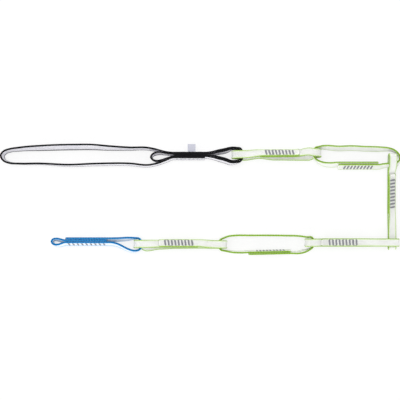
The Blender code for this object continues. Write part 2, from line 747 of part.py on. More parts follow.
ring_2_tip = ring_1_start + Vector((RING_1_LENGTH - FOLD_OUTER - SLACK_1_2, ring_1_rise, 0))
ring_2_body = body("ring_2", (ring_2_tip.x, ring_2_tip.y, SINGLE_HEIGHT))
crossing_along, crossing_across = ring_2(ring_2_tip, ring_2_body)

ring_3_link = ring_2_tip + Vector((crossing_along, crossing_across, 0))
ring_3_end = ring_3_link.y + SLACK_2_3 + FOLD_OUTER
ring_3_start = Vector((ring_3_link.x, ring_3_end - RING_3_LENGTH, 0))
ring_3 = body("ring_3", (ring_3_link.x, ring_3_link.y, SINGLE_HEIGHT))
flat_ring(
    "ring_3",
    ring_3_start,
    NORTH,
    RING_3_LENGTH,
    across_flat_ring(HALF_THICK),
    round_strand(SLACK_2_3),
    RING_3_TILT,
    76.7,
    ((20, 0.0), (56, 2.4), (98, 2.4), (RING_3_LENGTH - FOLD_OUTER, 0.0)),
    ((20, 0.0), (50, 0.6), (100, 0.4), (RING_3_LENGTH - FOLD_OUTER, 0.0)),
    ring_3,
)

ring_4_across = ring_3_start.y + WEBBING_THICKNESS + CROSS_SLACK + HALF_WIDTH
ring_4_start = Vector((ring_3_link.x + HALF_WIDTH + CROSS_SLACK + WEBBING_THICKNESS, ring_4_across, 0))
ring_4 = body("ring_4", (ring_3_link.x, ring_4_across, HALF_THICK + 2 * CROSS_PITCH))
flat_ring(
    "ring_4",
    ring_4_start,
    WEST,
    RING_4_LENGTH,
    across_flat_ring(HALF_THICK + CROSS_PITCH),
    round_strand(SLACK_4_5),
    RING_4_TILT,
    77.5,
    ((20, 0.0), (48, -0.3), (104, -0.3), (RING_4_LENGTH - FOLD_OUTER, 0.1)),
    ((20, 0.0), (48, 0.3), (104, 0.3), (RING_4_LENGTH - FOLD_OUTER, 0.1)),
    ring_4,
    RING_4_TAIL,
)

ring_5_right = ring_4_start + Vector((-RING_4_LENGTH + FOLD_OUTER + SLACK_4_5, 0, 0))
ring_5_slant = 2.6  # how far its right tip lies above its left one
ring_5_tip = ring_5_right - Vector((RING_5_LENGTH, ring_5_slant, 0))
ring_5_body = body("ring_5", (ring_5_right.x, ring_5_right.y, SINGLE_HEIGHT))
ring_5(ring_5_tip, ring_5_slant, ring_5_body)

ring_6_start = ring_5_tip + Vector((SLACK_5_6 + FOLD_OUTER, 0, 0))
ring_6_rise = -0.55
ring_6 = body("ring_6", (ring_5_tip.x, ring_5_tip.y, SINGLE_HEIGHT))
flat_ring(
    "ring_6",
    ring_6_start,
    WEST,
    RING_6_LENGTH,
    round_strand(SLACK_5_6),
    round_strand(SLACK_6_END),
    RING_6_TILT,
    66.1,
    (
        (FOLD_OUTER, -FOLD_DRIFT),
        (38, -1.2),
        (94, -1.2),
        (RING_6_LENGTH - FOLD_OUTER, ring_6_rise - FOLD_DRIFT),
    ),
    (
        (FOLD_OUTER, FOLD_DRIFT),
        (40, 0.3),
        (71, 0.7),
        (92, 1.6),
        (RING_6_LENGTH - 17.5, 4.1),
        (RING_6_LENGTH - FOLD_OUTER, ring_6_rise + FOLD_DRIFT),
    ),
    ring_6,
)

end_tip = ring_6_start + Vector((-RING_6_LENGTH + FOLD_OUTER + SLACK_6_END, -ring_6_rise, 0))
end = body("end_ring", (end_tip.x, end_tip.y, SINGLE_HEIGHT))
end_ring(end_tip, end)

label_root = seam_top.middle + seam_top.face * (HALF_THICK + THREAD_ROOM + FIT + LABEL_THICKNESS / 2)
label_root.x = tie_in_tip.x - TIE_IN_EYE - TIE_IN_SEAM + LABEL_ALONG
label_root.y += (LABEL_HEIGHT - label_root.z) * sin(radians(TIE_IN_LEAN))
label_root.z = LABEL_HEIGHT
label(body("label", label_root))

centre_on_floor([o for o in bpy.data.objects if o.type == "EMPTY"])
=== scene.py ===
"""Personal anchor chain: eight sewn rings of narrow webbing, laid out in a U and seen from above.

Each ring's tape is modelled anew on the route of its CAD solid, with a thick woven edge on both
sides, heat-cut ends and stitched bar tacks. The routes are in millimetres, and start from the tip
of the tie-in ring's eye.
"""

import json
from collections import namedtuple
from math import ceil, cos, hypot, pi, radians, sin, sqrt

import bmesh
import bpy
from mathutils import Matrix, Vector, kdtree


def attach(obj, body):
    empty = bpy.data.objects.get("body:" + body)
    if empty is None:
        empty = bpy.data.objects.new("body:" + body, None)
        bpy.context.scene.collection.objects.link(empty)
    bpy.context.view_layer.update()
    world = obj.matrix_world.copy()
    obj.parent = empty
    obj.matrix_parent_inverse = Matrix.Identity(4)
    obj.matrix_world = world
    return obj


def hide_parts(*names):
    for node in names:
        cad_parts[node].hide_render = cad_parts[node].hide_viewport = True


MM = 0.001  # in metres

# Webbing
WEBBING_WIDTH = 11.0
WEBBING_THICKNESS = 1.6
HALF_WIDTH = WEBBING_WIDTH / 2
HALF_THICK = WEBBING_THICKNESS / 2

# Room between pieces
FIT = 0.4  # between linked rings, and between the label and its seam
GREEN_GAP = 0.9  # between a chain ring's two sewn layers, whose woven edges are thicker still
CROSS_GAP = 0.8  # between the legs of the two flat rings that are hooked together
BLACK_GAP = 0.12  # the five layers of the tie-in ring's seam are pressed together
EYE_GAP = 0.8  # between the two layers of the tie-in ring's eye
EYE_SPREAD = 13.0  # from the seam to where they have spread that far
BLUE_GAP = 0.9  # the end ring's three layers stand off each other between the tacks

# Bar tacks
THREAD_THICKNESS = 0.5
THREAD_GAP = 0.25  # from the thread to the webbing's face
TACK_MARGIN = 0.9  # from a tack's end to the webbing's edge
GREEN_TACKS, GREEN_SPACING = 9, 4.6
BLACK_TACKS, BLACK_SPACING = 7, 5.7
BLUE_TACKS, BLUE_SPACING = 9, 6.0
# How far each ring's tacks are sewn askew: along the webbing for each millimetre across it
TACK_SLANTS = {
    "tie_in": 0.14,
    "ring_1": -0.18,
    "ring_2": 0.28,
    "ring_3": -0.14,
    "ring_4": -0.08,
    "ring_5": 0.14,
    "ring_6": -0.16,
    "end": -0.25,
}

# Chain rings: how long each lies from end to end, and how far its sewn leg is tilted
RING_1_LENGTH, RING_1_TILT = 122.7, -34.0
RING_2_LENGTH = 118.0
RING_3_LENGTH, RING_3_TILT = 131.9, 26.0  # the CAD solid's leg is tilted 38 degrees
RING_4_LENGTH, RING_4_TILT = 130.0, 0.0
RING_5_LENGTH = 128.6
RING_6_LENGTH, RING_6_TILT = 127.7, 22.0
OVERLAP = 55.0  # of the two ends of a chain ring's strip
RING_4_TAIL, RING_5_TAIL = 4.0, 3.2  # by how much their outer ends are longer
SEAM_LENGTH = 40.0  # the part of the overlap that the tacks keep flat
ARCH = 2.0  # how far the sewn leg of a flat ring springs up from the leg below it
LEG_FALL = 14.0  # the length over which the lower leg comes down from a fold
TAIL_LEAD = 2.0  # how far before the sewn leg its outer layer has already risen onto it

# Links: from a fold's centre to the middle of the strand that it holds
SLACK_TIE_IN_1 = 5.0
SLACK_1_2 = 2.1
SLACK_2_3 = 7.2
SLACK_4_5 = 3.7
SLACK_5_6 = 2.5
SLACK_6_END = 2.1
CROSS_SLACK = 2.7  # from the edge of a flat ring to the fold of the flat ring on it
TIP_BOW = 1.2  # how far a strand bows along the chain inside a fold
TIP_DEPTH = 2.3  # from a standing loop's tip to where its legs begin
TIP_CORNER, TIP_ROUND = 2.7, 0.25  # of the rounded corners between them: across and along the loop
FOLD_DRIFT = 0.6  # how far each leg lies off a fold's middle, sideways
LINK_LEAN = 27.0  # of ring 2's strand where ring 3 folds round it
RING_2_LEAN, RING_5_LEAN = 38.0, 10.0  # of their sewn legs
CROSSING_IN = 4.8  # from the edge of ring 3's fold to the far end of ring 2
CROSSING_SIDE = 12.4  # of ring 2's lower leg there, from its tip
RING_1_SKEW = 1.0  # how much further ring 1's upper leg lies to the left in ring 2's tip
RING_5_SLANT, RING_5_SIDE = 0.022, 10.2  # of its sewn leg: its slope, and its place from the tip

# Tie-in ring, measured from the tip of its eye
TIE_IN_EYE = 49.5
TIE_IN_SEAM = 42.6
TIE_IN_LOOP = 237.2
TEARDROP = 31.5
TIE_IN_LEAN = 14.0

# End ring, measured from the tip of its loop
END_LOOP = 46.5
END_SEAM = 57.0
END_EYE = 19.0
END_SIDE = 5.8  # from the middle of the loop's tip to the seam, sideways
END_LEAN = 26.0

# Label
LABEL_LENGTH, LABEL_WIDTH, LABEL_THICKNESS = 9.2, 10.7, 0.9
LABEL_ALONG = 24.3  # from the seam's far end to the label's middle
LABEL_HEIGHT = 9.2  # of its middle over the surface

# What follows from the sizes above
GREEN_PITCH = WEBBING_THICKNESS + GREEN_GAP
BLACK_PITCH = (WEBBING_THICKNESS + BLACK_GAP) / cos(radians(TIE_IN_LEAN))
BLUE_PITCH = (WEBBING_THICKNESS + BLUE_GAP) / cos(radians(END_LEAN))
EYE_PITCH = WEBBING_THICKNESS + EYE_GAP
THREAD_ROOM = THREAD_GAP + THREAD_THICKNESS
SINGLE_ROOM = hypot(HALF_WIDTH, (WEBBING_THICKNESS + TIP_BOW) / 2)
DOUBLE_ROOM = hypot(HALF_WIDTH, (WEBBING_THICKNESS + EYE_PITCH + TIP_BOW) / 2)
FOLD_INNER = DOUBLE_ROOM + FIT
FOLD_RADIUS = FOLD_INNER + HALF_THICK
FOLD_OUTER = FOLD_INNER + WEBBING_THICKNESS
SINGLE_HEIGHT = WEBBING_THICKNESS + SINGLE_ROOM + FIT / 2
DOUBLE_HEIGHT = WEBBING_THICKNESS + DOUBLE_ROOM + FIT / 2
CROSS_PITCH = WEBBING_THICKNESS + CROSS_GAP
TIP_SIDE = HALF_WIDTH + FOLD_DRIFT + FIT + HALF_THICK

# Steps of the curves and meshes
CURVE_STEP = 1.2  # between the points of a route
FOLD_STEPS = 22  # round a flat ring's fold
STATION_STEP = 1.1  # from one cross-section of a tape to the next
FACE_STEPS = 10  # across a tape's face
RIM_STEPS = 6  # round its edge
THREAD_STEPS = 4  # along a tack, for each thread
TACK_STEPS = 6  # across a tack
LABEL_STEPS = 12  # across the label
LABEL_TURNS = 8  # along each of its layers, and round its fold
SHARP_ANGLE = 50.0  # degrees; a sharper bend in a mesh is shaded as an edge

# Thick woven edges, which the CAD solids leave out
GREEN_BULGE, BLACK_BULGE, BLUE_BULGE = 1.3, 1.3, 1.45  # half their thickness, with no layer on them
FACE_HALF = 0.7  # half the thickness of the middle
RIM_WIDTH = 3.0  # over which the face rises from the middle to the edge
PRESSED_GAP = 0.06  # between edges that are sewn together or crossed
PRESSED_REACH = 6  # how many cross-sections a pressed edge takes to swell again
UPRIGHT = 0.7  # below this, a tape lies flat: the upward part of its line from edge to edge
SAME_LAYER = 15.0  # within this length along a strip, two places are of one layer
MELTED_END = 0.9  # the length of a heat-cut end
MELTED_SHRINK = 0.16  # how much thinner the tape is at the cut

# Stitches of the bar tacks
STITCH_WIDTH = 2.5  # of a bar tack
STITCH_PITCH = 0.62  # from one thread of a bar tack to the next, across the webbing
STITCH_RISE = 0.55  # of a tack over the tape
STITCH_ROOT = 0.12  # how deep a tack's rim sinks into the tape
TRAVEL_STITCH = 0.8  # width of the stitches from one tack to the next
THREAD_NECK, THREAD_DIP = 0.14, 0.3  # how much narrower and lower a tack is between two threads
TACK_END_DIP = 0.6  # how much lower it is at its ends

# The label's ribbon
LABEL_LAYER = 0.34
LABEL_ROOT = 1.1  # how far its ends reach on into the stitches of the seam
LABEL_HEM = 0.9
LABEL_MIDDLE = 0.72  # its thickness between the hems, as a share of theirs

# Camera and light
EYE_HEIGHT = 1600.0
VIEW_WIDTH = 550.0  # what the photograph's frame holds, at the surface
VIEW_MIDDLE = (-0.7, -0.9)
TABLE_GLOW = 0.74  # the share of the table's white, as the camera sees it, that takes no shadow
TABLE_REACH, TABLE_DROP = 3000.0, 0.02  # the drop keeps it clear of the tapes that rest on it
ROOM_LIGHT = 0.7  # strength of the light from all round

End = namedtuple("End", "radius base hold")
Station = namedtuple("Station", "middle across face")
Edge = namedtuple("Edge", "surfaces bulge slot")


def linear(colour):
    """An sRGB hex colour as linear RGBA."""
    levels = [int(colour[i : i + 2], 16) / 255 for i in (1, 3, 5)]
    return [v / 12.92 if v <= 0.04045 else ((v + 0.055) / 1.055) ** 2.4 for v in levels] + [1.0]


def add_node(tree, kind, values=None, **settings):
    """Adds a node with its settings. values are sockets to link or numbers to set, by name or place:
    a mix of colours or shaders has its share in place 0, and what it mixes in 1 and 2."""
    made = tree.nodes.new("ShaderNode" + kind)
    for name, setting in settings.items():
        setattr(made, name, setting)
    for name, value in (values or {}).items():
        if isinstance(value, bpy.types.NodeSocket):
            tree.links.new(value, made.inputs[name])
        else:
            made.inputs[name].default_value = value
    return made


def new_material(name, **values):
    """A material with one Principled shader, and its node tree and shader."""
    made = bpy.data.materials.new(name)
    made.use_nodes = True
    tree = made.node_tree
    shader = tree.nodes["Principled BSDF"]
    for socket, value in values.items():
        shader.inputs[socket.replace("_", " ")].default_value = value
    return made, tree, shader


def tape_place(tree):
    """Where a point of a tape or a tack lies along it and across it, in millimetres."""
    place = add_node(tree, "SeparateXYZ", {0: add_node(tree, "UVMap", uv_map="tape").outputs[0]})
    return place.outputs[0], place.outputs[1]


def dress(tree, shader, colour, height, strength, depth):
    """Gives a shader its colour and its relief, which is depth millimetres deep."""
    tree.links.new(colour.outputs[0], shader.inputs["Base Color"])
    bump = add_node(tree, "Bump", {"Height": height, "Strength": strength, "Distance": depth * MM})
    tree.links.new(bump.outputs[0], shader.inputs["Normal"])


def woven_tape(name, edge, middle, clearness=0.5):
    """Polyethylene and nylon tape, shuttle woven: a matt white middle of fine warp ribs crossed by the weft,
    with painted shade in the hollows between the yarns, and a thick coloured edge on each side, where the
    weft turns back in slanting picks, whose crowns are painted lighter as a highlight. Towards the middle,
    coloured and white picks mix, so the edge's inner part looks paler.

    edge is its dark colour, the lighter colour of the painted highlight on its picks' crowns and its width,
    then the paler part's colour and the width of both. middle is its colour and its shade. clearness is how
    much light passes through the yarns.
    """
    edge_colour, edge_highlight, edge_width, mixed_colour, band_width = edge
    middle_colour, middle_shade = middle
    rib, pick = 0.9, 1.3  # mm; the real yarns are finer, and are drawn as coarse as they need to show
    turn, slope = 2.2, 1.4  # the length of an edge pick in mm, and how steeply it slants
    step, blur = 0.7, 0.1  # mm; how far an edge pick reaches into the white, and how softly it ends
    valley_shade_level, fuzz = 0.93, 0.5  # how dark the painted shade in the hollows between the yarns is, and how high the fibres stand
    handled_scale, fibre_scale = 45.0, 1500.0  # per metre: patches of 22 mm, and fibres of 0.7 mm
    made, tree, shader = new_material(
        name,
        Roughness=0.8,
        Specular_IOR_Level=0.15,
        Subsurface_Weight=clearness,
        Subsurface_Radius=(1.0, 1.0, 1.0),
        Subsurface_Scale=2.5 * MM,
    )
    along, across = tape_place(tree)
    ribs = add_node(tree, "Math", {0: across, 1: 2 * pi / rib}, operation="MULTIPLY")
    picks = add_node(tree, "Math", {0: along, 1: 2 * pi / pick}, operation="MULTIPLY")
    rib_wave = add_node(tree, "Math", {0: ribs.outputs[0]}, operation="SINE")
    pick_wave = add_node(tree, "Math", {0: picks.outputs[0]}, operation="SINE")
    weave = add_node(tree, "Math", {0: rib_wave.outputs[0], 1: pick_wave.outputs[0]}, operation="MULTIPLY")
    slant = add_node(tree, "Math", {0: across, 1: slope, 2: along}, operation="MULTIPLY_ADD")
    turns = add_node(tree, "Math", {0: slant.outputs[0], 1: 2 * pi / turn}, operation="MULTIPLY")
    edge_wave = add_node(tree, "Math", {0: turns.outputs[0]}, operation="SINE")
    reach = add_node(tree, "Math", {0: edge_wave.outputs[0], 1: step / 2}, operation="MULTIPLY")
    side = add_node(tree, "Math", {0: across}, operation="ABSOLUTE")
    reached = add_node(tree, "Math", {0: side.outputs[0], 1: reach.outputs[0]}, operation="ADD").outputs[0]
    inner, rim = HALF_WIDTH - band_width, HALF_WIDTH - edge_width
    band = add_node(tree, "MapRange", {"Value": reached, "From Min": inner, "From Max": rim})
    full = add_node(tree, "MapRange", {"Value": reached, "From Min": rim - blur, "From Max": rim + blur})
    spot = add_node(tree, "TexCoord").outputs["Object"]
    handled = add_node(tree, "TexNoise", {"Vector": spot, "Scale": handled_scale, "Detail": 3.0})
    fibres = add_node(tree, "TexNoise", {"Vector": spot, "Scale": fibre_scale, "Detail": 2.0})
    worn = add_node(tree, "MapRange", {"Value": handled.outputs["Fac"], "From Min": 0.35, "From Max": 0.7})
    plain = add_node(tree, "MixRGB", {0: worn.outputs[0], 1: linear(middle_colour), 2: linear(middle_shade)})
    # Painted shade: the colour is darkened in the hollows between the ribs and picks, where the relief is low
    depth = {"Value": weave.outputs[0], "From Min": -1.0, "From Max": 0.2, "To Min": valley_shade_level}
    painted_valley_shade = add_node(tree, "MapRange", depth)
    woven = add_node(tree, "MixRGB", {0: 1.0, 1: plain.outputs[0], 2: painted_valley_shade.outputs[0]}, blend_type="MULTIPLY")
    # Painted highlight: the crowns of the edge picks, where the relief is high, take the lighter edge colour
    lit = add_node(tree, "MapRange", {"Value": edge_wave.outputs[0], "From Min": -0.6, "From Max": 0.9})
    yarn = add_node(tree, "MixRGB", {0: lit.outputs[0], 1: linear(edge_colour), 2: linear(edge_highlight)})
    paler = add_node(tree, "MixRGB", {0: band.outputs[0], 1: woven.outputs[0], 2: linear(mixed_colour)})
    whole = add_node(tree, "MixRGB", {0: full.outputs[0], 1: paler.outputs[0], 2: yarn.outputs[0]})
    waves = {"Factor": full.outputs[0], "A": weave.outputs[0], "B": edge_wave.outputs[0]}
    relief = add_node(tree, "Mix", waves)
    rough = {0: fibres.outputs["Fac"], 1: fuzz, 2: relief.outputs[0]}
    height = add_node(tree, "Math", rough, operation="MULTIPLY_ADD")
    dress(tree, shader, whole, height.outputs[0], strength=0.5, depth=0.09)
    return made


def melted_tape(name, edge_colour, middle_colour):
    """The same yarns, melted where a hot knife cut the tape: smoother and lumpy, with dark corners."""
    lump_scale = 900.0  # per metre: lumps of 1.1 mm
    corner_start, corner_end = HALF_WIDTH - 1.6, HALF_WIDTH - 0.6
    made, tree, shader = new_material(name, Roughness=0.45)
    _, across = tape_place(tree)
    spot = add_node(tree, "TexCoord").outputs["Object"]
    lumps = add_node(tree, "TexNoise", {"Vector": spot, "Scale": lump_scale, "Detail": 2.0}).outputs["Fac"]
    side = add_node(tree, "Math", {0: across}, operation="ABSOLUTE")
    spread = add_node(tree, "Math", {0: side.outputs[0], 1: lumps}, operation="ADD")
    reach = {"Value": spread.outputs[0], "From Min": corner_start, "From Max": corner_end}
    corner = add_node(tree, "MapRange", reach)
    mixed = add_node(tree, "MixRGB", {0: corner.outputs[0], 1: linear(middle_colour), 2: linear(edge_colour)})
    dress(tree, shader, mixed, lumps, strength=0.6, depth=0.15)
    return made


def twisted_thread(name, light, dark):
    """Bonded polyester sewing thread, twisted from three plies: a slight gloss, a dark line of painted shade
    between neighbouring stitches, and a painted highlight on each ply's crown."""
    twist, ply_shine = 0.5, 0.12  # the twist in mm, and how much lighter a ply's crown is painted, as a highlight
    made, tree, shader = new_material(name, Roughness=0.5, Sheen_Weight=0.2)
    along, across = tape_place(tree)
    slant = add_node(tree, "Math", {0: along, 1: across}, operation="ADD")
    turns = add_node(tree, "Math", {0: slant.outputs[0], 1: 2 * pi / twist}, operation="MULTIPLY")
    plies = add_node(tree, "Math", {0: turns.outputs[0]}, operation="SINE").outputs[0]
    # Painted shade and highlight: the colour darkens to a line between neighbouring threads, and each ply's
    # crown is painted lighter
    threads = add_node(tree, "Math", {0: across, 1: pi / STITCH_PITCH}, operation="MULTIPLY")
    crown = add_node(tree, "Math", {0: threads.outputs[0]}, operation="COSINE")
    height = add_node(tree, "Math", {0: crown.outputs[0]}, operation="ABSOLUTE")
    lit = add_node(tree, "Math", {0: plies, 1: ply_shine, 2: height.outputs[0]}, operation="MULTIPLY_ADD")
    colour = add_node(tree, "MixRGB", {0: lit.outputs[0], 1: linear(dark), 2: linear(light)})
    dress(tree, shader, colour, plies, strength=0.3, depth=0.05)
    return made


def label_ribbon(name, light, shade):
    """Satin-woven polyester ribbon: smooth, with a faint sheen, and finely ribbed along its length, with the
    ribs' crowns painted lighter and their hollows painted in shade.
    """
    rib = 0.7 * MM
    made, tree, shader = new_material(name, Roughness=0.5, Sheen_Weight=0.3)
    spot = add_node(tree, "SeparateXYZ", {0: add_node(tree, "TexCoord").outputs["Object"]})
    ribs = add_node(tree, "Math", {0: spot.outputs[0], 1: 2 * pi / rib}, operation="MULTIPLY")
    wave = add_node(tree, "Math", {0: ribs.outputs[0]}, operation="SINE").outputs[0]
    # Painted light and shade: the ribs' crowns take the light colour and their hollows the shade
    rib_light_and_shade = add_node(tree, "MapRange", {"Value": wave, "From Min": -1.0})
    colour = add_node(tree, "MixRGB", {0: rib_light_and_shade.outputs[0], 1: linear(shade), 2: linear(light)})
    dress(tree, shader, colour, wave, strength=0.3, depth=0.04)
    return made


def ease(t):
    """A smooth step from 0 to 1."""
    t = min(max(t, 0.0), 1.0)
    return t * t * (3 - 2 * t)


def look_up(table, at):
    """The value at a place, smoothly between a table's (place, value) pairs."""
    for (a, low), (b, high) in zip(table, table[1:]):
        if at <= b:
            return low + (high - low) * ease((at - a) / (b - a))
    return table[-1][1]


def spline(knots, start, end):
    """Points on a smooth line through knots, each a plan place and the values that vary along it.

    start and end are the directions in which the line sets out and arrives.
    """
    spans = [hypot(b[0] - a[0], b[1] - a[1]) for a, b in zip(knots, knots[1:])]
    level = (0.0,) * (len(knots[0]) - 2)
    slopes = [(*start, *level)]
    for i in range(1, len(knots) - 1):
        before, after = spans[i - 1], spans[i]
        slopes.append(
            tuple(
                ((here - last) / before * after + (following - here) / after * before) / (before + after)
                for last, here, following in zip(knots[i - 1], knots[i], knots[i + 1])
            )
        )
    slopes.append((*end, *level))
    points = []
    for a, b, ahead, arrive, span in zip(knots, knots[1:], slopes, slopes[1:], spans):
        count = max(2, ceil(span / CURVE_STEP))
        for n in range(count):
            t = n / count
            h = (2 * t**3 - 3 * t**2 + 1, t**3 - 2 * t**2 + t, 3 * t**2 - 2 * t**3, t**3 - t**2)
            points.append(
                tuple(
                    h[0] * p + h[1] * span * m + h[2] * q + h[3] * span * k
                    for p, m, q, k in zip(a, ahead, b, arrive)
                )
            )
    return points + [tuple(knots[-1])]


def inside(points):
    """The eye's line, which turns clockwise, moved inwards by a layer."""
    runs = [hypot(b[0] - a[0], b[1] - a[1]) for a, b in zip(points, points[1:])]
    moved = []
    for i, (x, y, lean, *rest) in enumerate(points):
        a, b = points[max(i - 1, 0)], points[min(i + 1, len(points) - 1)]
        span = hypot(b[0] - a[0], b[1] - a[1])
        spread_by = ease(min(sum(runs[:i]), sum(runs[i:])) / EYE_SPREAD)
        pitch = WEBBING_THICKNESS + BLACK_GAP + (EYE_GAP - BLACK_GAP) * spread_by
        shift = pitch / cos(radians(lean)) / span
        moved.append((x + (b[1] - a[1]) * shift, y - (b[0] - a[0]) * shift, lean, *rest))
    return moved


def body_of(ring):
    """The body that a ring's pieces ride on."""
    return "end_ring" if ring == "end" else ring


def piece(name, mesh, surfaces, body_name, node):
    """An object of a mesh, which rides on a body and stands for its CAD node."""
    bmesh.ops.recalc_face_normals(mesh, faces=mesh.faces)
    data = bpy.data.meshes.new(name)
    mesh.to_mesh(data)
    mesh.free()
    data.shade_smooth()
    data.set_sharp_from_angle(angle=radians(SHARP_ANGLE))
    for surface in surfaces:
        data.materials.append(surface)
    made = bpy.data.objects.new(name, data)
    bpy.context.collection.objects.link(made)
    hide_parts(node)
    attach(made, body_name)


def evenly(stations):
    """Stations at even steps along a route, with the distance of each from the route's start."""
    rows, walked = [(0.0, stations[0])], 0.0
    for a, b in zip(stations, stations[1:]):
        span = (b.middle - a.middle).length
        count = max(1, round(span / STATION_STEP))
        for n in range(1, count + 1):
            part = n / count
            middle = a.middle.lerp(b.middle, part)
            across = a.across.lerp(b.across, part).normalized()
            face = a.face.lerp(b.face, part).normalized()
            rows.append((walked + span * part, Station(middle, across, face)))
        walked += span
    return rows


def tape_section(bulge):
    """The tape's cross-section, all round, from the half thickness of its edges."""
    flat = HALF_WIDTH - bulge
    half = []
    for n in range(FACE_STEPS + 1):
        across = flat * cos(pi * n / FACE_STEPS)
        rim = ease((abs(across) - HALF_WIDTH + RIM_WIDTH) / (RIM_WIDTH - bulge))
        half.append((across, FACE_HALF + (bulge - FACE_HALF) * rim))
    for n in range(1, RIM_STEPS):
        turn = pi / 2 + pi * n / RIM_STEPS
        half.append((-flat + bulge * cos(turn), bulge * sin(turn)))
    return half + [(-across, -rise) for across, rise in half]


def edge_bulges(rows, bulge):
    """Half the thickness of the edges at each station: less where another layer presses on them."""
    middles = kdtree.KDTree(len(rows))
    for i, (_, s) in enumerate(rows):
        middles.insert(s.middle, i)
    middles.balance()
    room = []
    for at, s in rows:
        upright, most = abs(s.across.z), bulge
        if upright < UPRIGHT:
            over_floor = (s.middle.z - HALF_WIDTH * upright) / (1 - upright)
            most = min(bulge, over_floor, (CROSS_PITCH - PRESSED_GAP) / 2)
        along = s.across.cross(s.face)
        off = [
            sqrt(max(away * away - (place - s.middle).dot(along) ** 2, 0.0))
            for place, i, away in middles.find_range(s.middle, 2 * bulge + PRESSED_GAP)
            if abs(rows[i][0] - at) > SAME_LAYER
        ]
        room.append(max(min([most] + [(gap - PRESSED_GAP) / 2 for gap in off]), FACE_HALF))
    return [min(room[max(i - PRESSED_REACH, 0) : i + PRESSED_REACH + 1]) for i in range(len(room))]


def strip(ring, stations, selvedge):
    """A ring's tape: both faces, its thick edges and the melted ends of its strip."""
    rows = evenly(stations)
    sections = [tape_section(bulge) for bulge in edge_bulges(rows, selvedge.bulge)]
    count, length = len(sections[0]), rows[-1][0]
    mesh = bmesh.new()
    uv = mesh.loops.layers.uv.new("tape")
    rings = []
    for (at, s), section in zip(rows, sections):
        shrink = 1 - MELTED_SHRINK * (1 - ease(min(at, length - at) / MELTED_END))
        narrow = (1 + shrink) / 2
        outline = [s.middle + s.across * a * narrow + s.face * b * shrink for a, b in section]
        rings.append([mesh.verts.new(place * MM) for place in outline])
    for n in range(len(rows) - 1):
        at, after = rows[n][0], rows[n + 1][0]
        melted = min(at, length - after) < MELTED_END
        for i in range(count):
            j = (i + 1) % count
            face = mesh.faces.new((rings[n][i], rings[n][j], rings[n + 1][j], rings[n + 1][i]))
            face.material_index = 1 if melted else 0
            here, beside = sections[n][i][0], sections[n][j][0]
            corners = ((at, here), (at, beside), (after, beside), (after, here))
            for loop, corner in zip(face.loops, corners):
                loop[uv].uv = corner
    for outline, section in ((rings[0], sections[0]), (rings[-1], sections[-1])):
        cut = mesh.faces.new(outline)
        cut.material_index = 1
        for loop, (across, _) in zip(cut.loops, section):
            loop[uv].uv = (0.0, across)
    piece(f"{ring}_tape", mesh, selvedge.surfaces, body_of(ring), f"{ring}_webbing")


def stitches(mesh, uv, station, side, start, end, width):
    """A close row of threads from one place on the tape to another, domed, with its rim in the tape.

    start and end are places along and across the tape.
    """
    along = station.across.cross(station.face)
    run = hypot(end[0] - start[0], end[1] - start[1])
    ahead = ((end[0] - start[0]) / run, (end[1] - start[1]) / run)
    rows = round(run / STITCH_PITCH) * THREAD_STEPS
    grid = []
    for i in range(rows + 1):
        gone = run * i / rows
        crown = abs(cos(pi * gone / STITCH_PITCH))
        tip = ease(min(gone, run - gone) / STITCH_PITCH)
        line = []
        narrow = 1 - THREAD_NECK * (1 - crown)
        low = (1 - THREAD_DIP * (1 - crown)) * (1 - TACK_END_DIP * (1 - tip))
        for j in range(TACK_STEPS + 1):
            turn = pi * j / TACK_STEPS
            out = width / 2 * cos(turn) * narrow
            rise = (STITCH_RISE + STITCH_ROOT) * sin(turn) * low
            a = start[0] + ahead[0] * gone - ahead[1] * out
            b = start[1] + ahead[1] * gone + ahead[0] * out
            height = side * (HALF_THICK - STITCH_ROOT + rise)
            place = station.middle + along * a + station.across * b + station.face * height
            line.append((mesh.verts.new(place * MM), out, gone))
        grid.append(line)
    for a, b in zip(grid, grid[1:]):
        for j in range(TACK_STEPS):
            quad = (a[j], a[j + 1], b[j + 1], b[j])
            face = mesh.faces.new([q[0] for q in quad])
            for loop, corner in zip(face.loops, quad):
                loop[uv].uv = (corner[1], corner[2])
        mesh.faces.new((a[0][0], b[0][0], b[-1][0], a[-1][0]))
    for line in (grid[0], grid[-1]):
        mesh.faces.new([q[0] for q in line])


def seam(ring, thread, tacks, spacing, station, side):
    """The bar tacks on one face of a seam, and the stitches that lead from one to the next."""
    mesh = bmesh.new()
    uv = mesh.loops.layers.uv.new("tape")
    reach, slant = HALF_WIDTH - TACK_MARGIN, TACK_SLANTS[ring]
    for i in range(tacks):
        at = (i - (tacks - 1) / 2) * spacing
        start, stop = (at - slant * reach, -reach), (at + slant * reach, reach)
        stitches(mesh, uv, station, side, start, stop, STITCH_WIDTH)
        if i < tacks - 1:
            edge = (reach - TRAVEL_STITCH / 2) * (1 if i % 2 == 0 else -1)
            turn = at + slant * edge
            stitches(mesh, uv, station, side, (turn, edge), (turn + spacing, edge), TRAVEL_STITCH)
    name = f"{ring}_{thread}"
    piece(f"{name}_tacks", mesh, (tack_thread[ring],), body_of(ring), f"{name}_thread")


def sewn(ring, tacks, spacing, outer, inner):
    """The needle thread on a ring's outer layer and the bobbin thread on its inner one."""
    seam(ring, "needle", tacks, spacing, outer, 1)
    seam(ring, "bobbin", tacks, spacing, inner, -1)


def standing_station(place, heading, lean, lift):
    """A station of a strip that stands on edge: place is under its top edge."""
    left = Vector((-heading.y, heading.x, 0.0)).normalized()
    tip, turn = sin(radians(lean)), cos(radians(lean))
    height = lift + HALF_WIDTH * turn + HALF_THICK * abs(tip)
    middle = Vector((place[0], place[1], height)) - left * (HALF_WIDTH * tip)
    return Station(middle, Vector((0, 0, turn)) + left * tip, left * turn - Vector((0, 0, tip)))


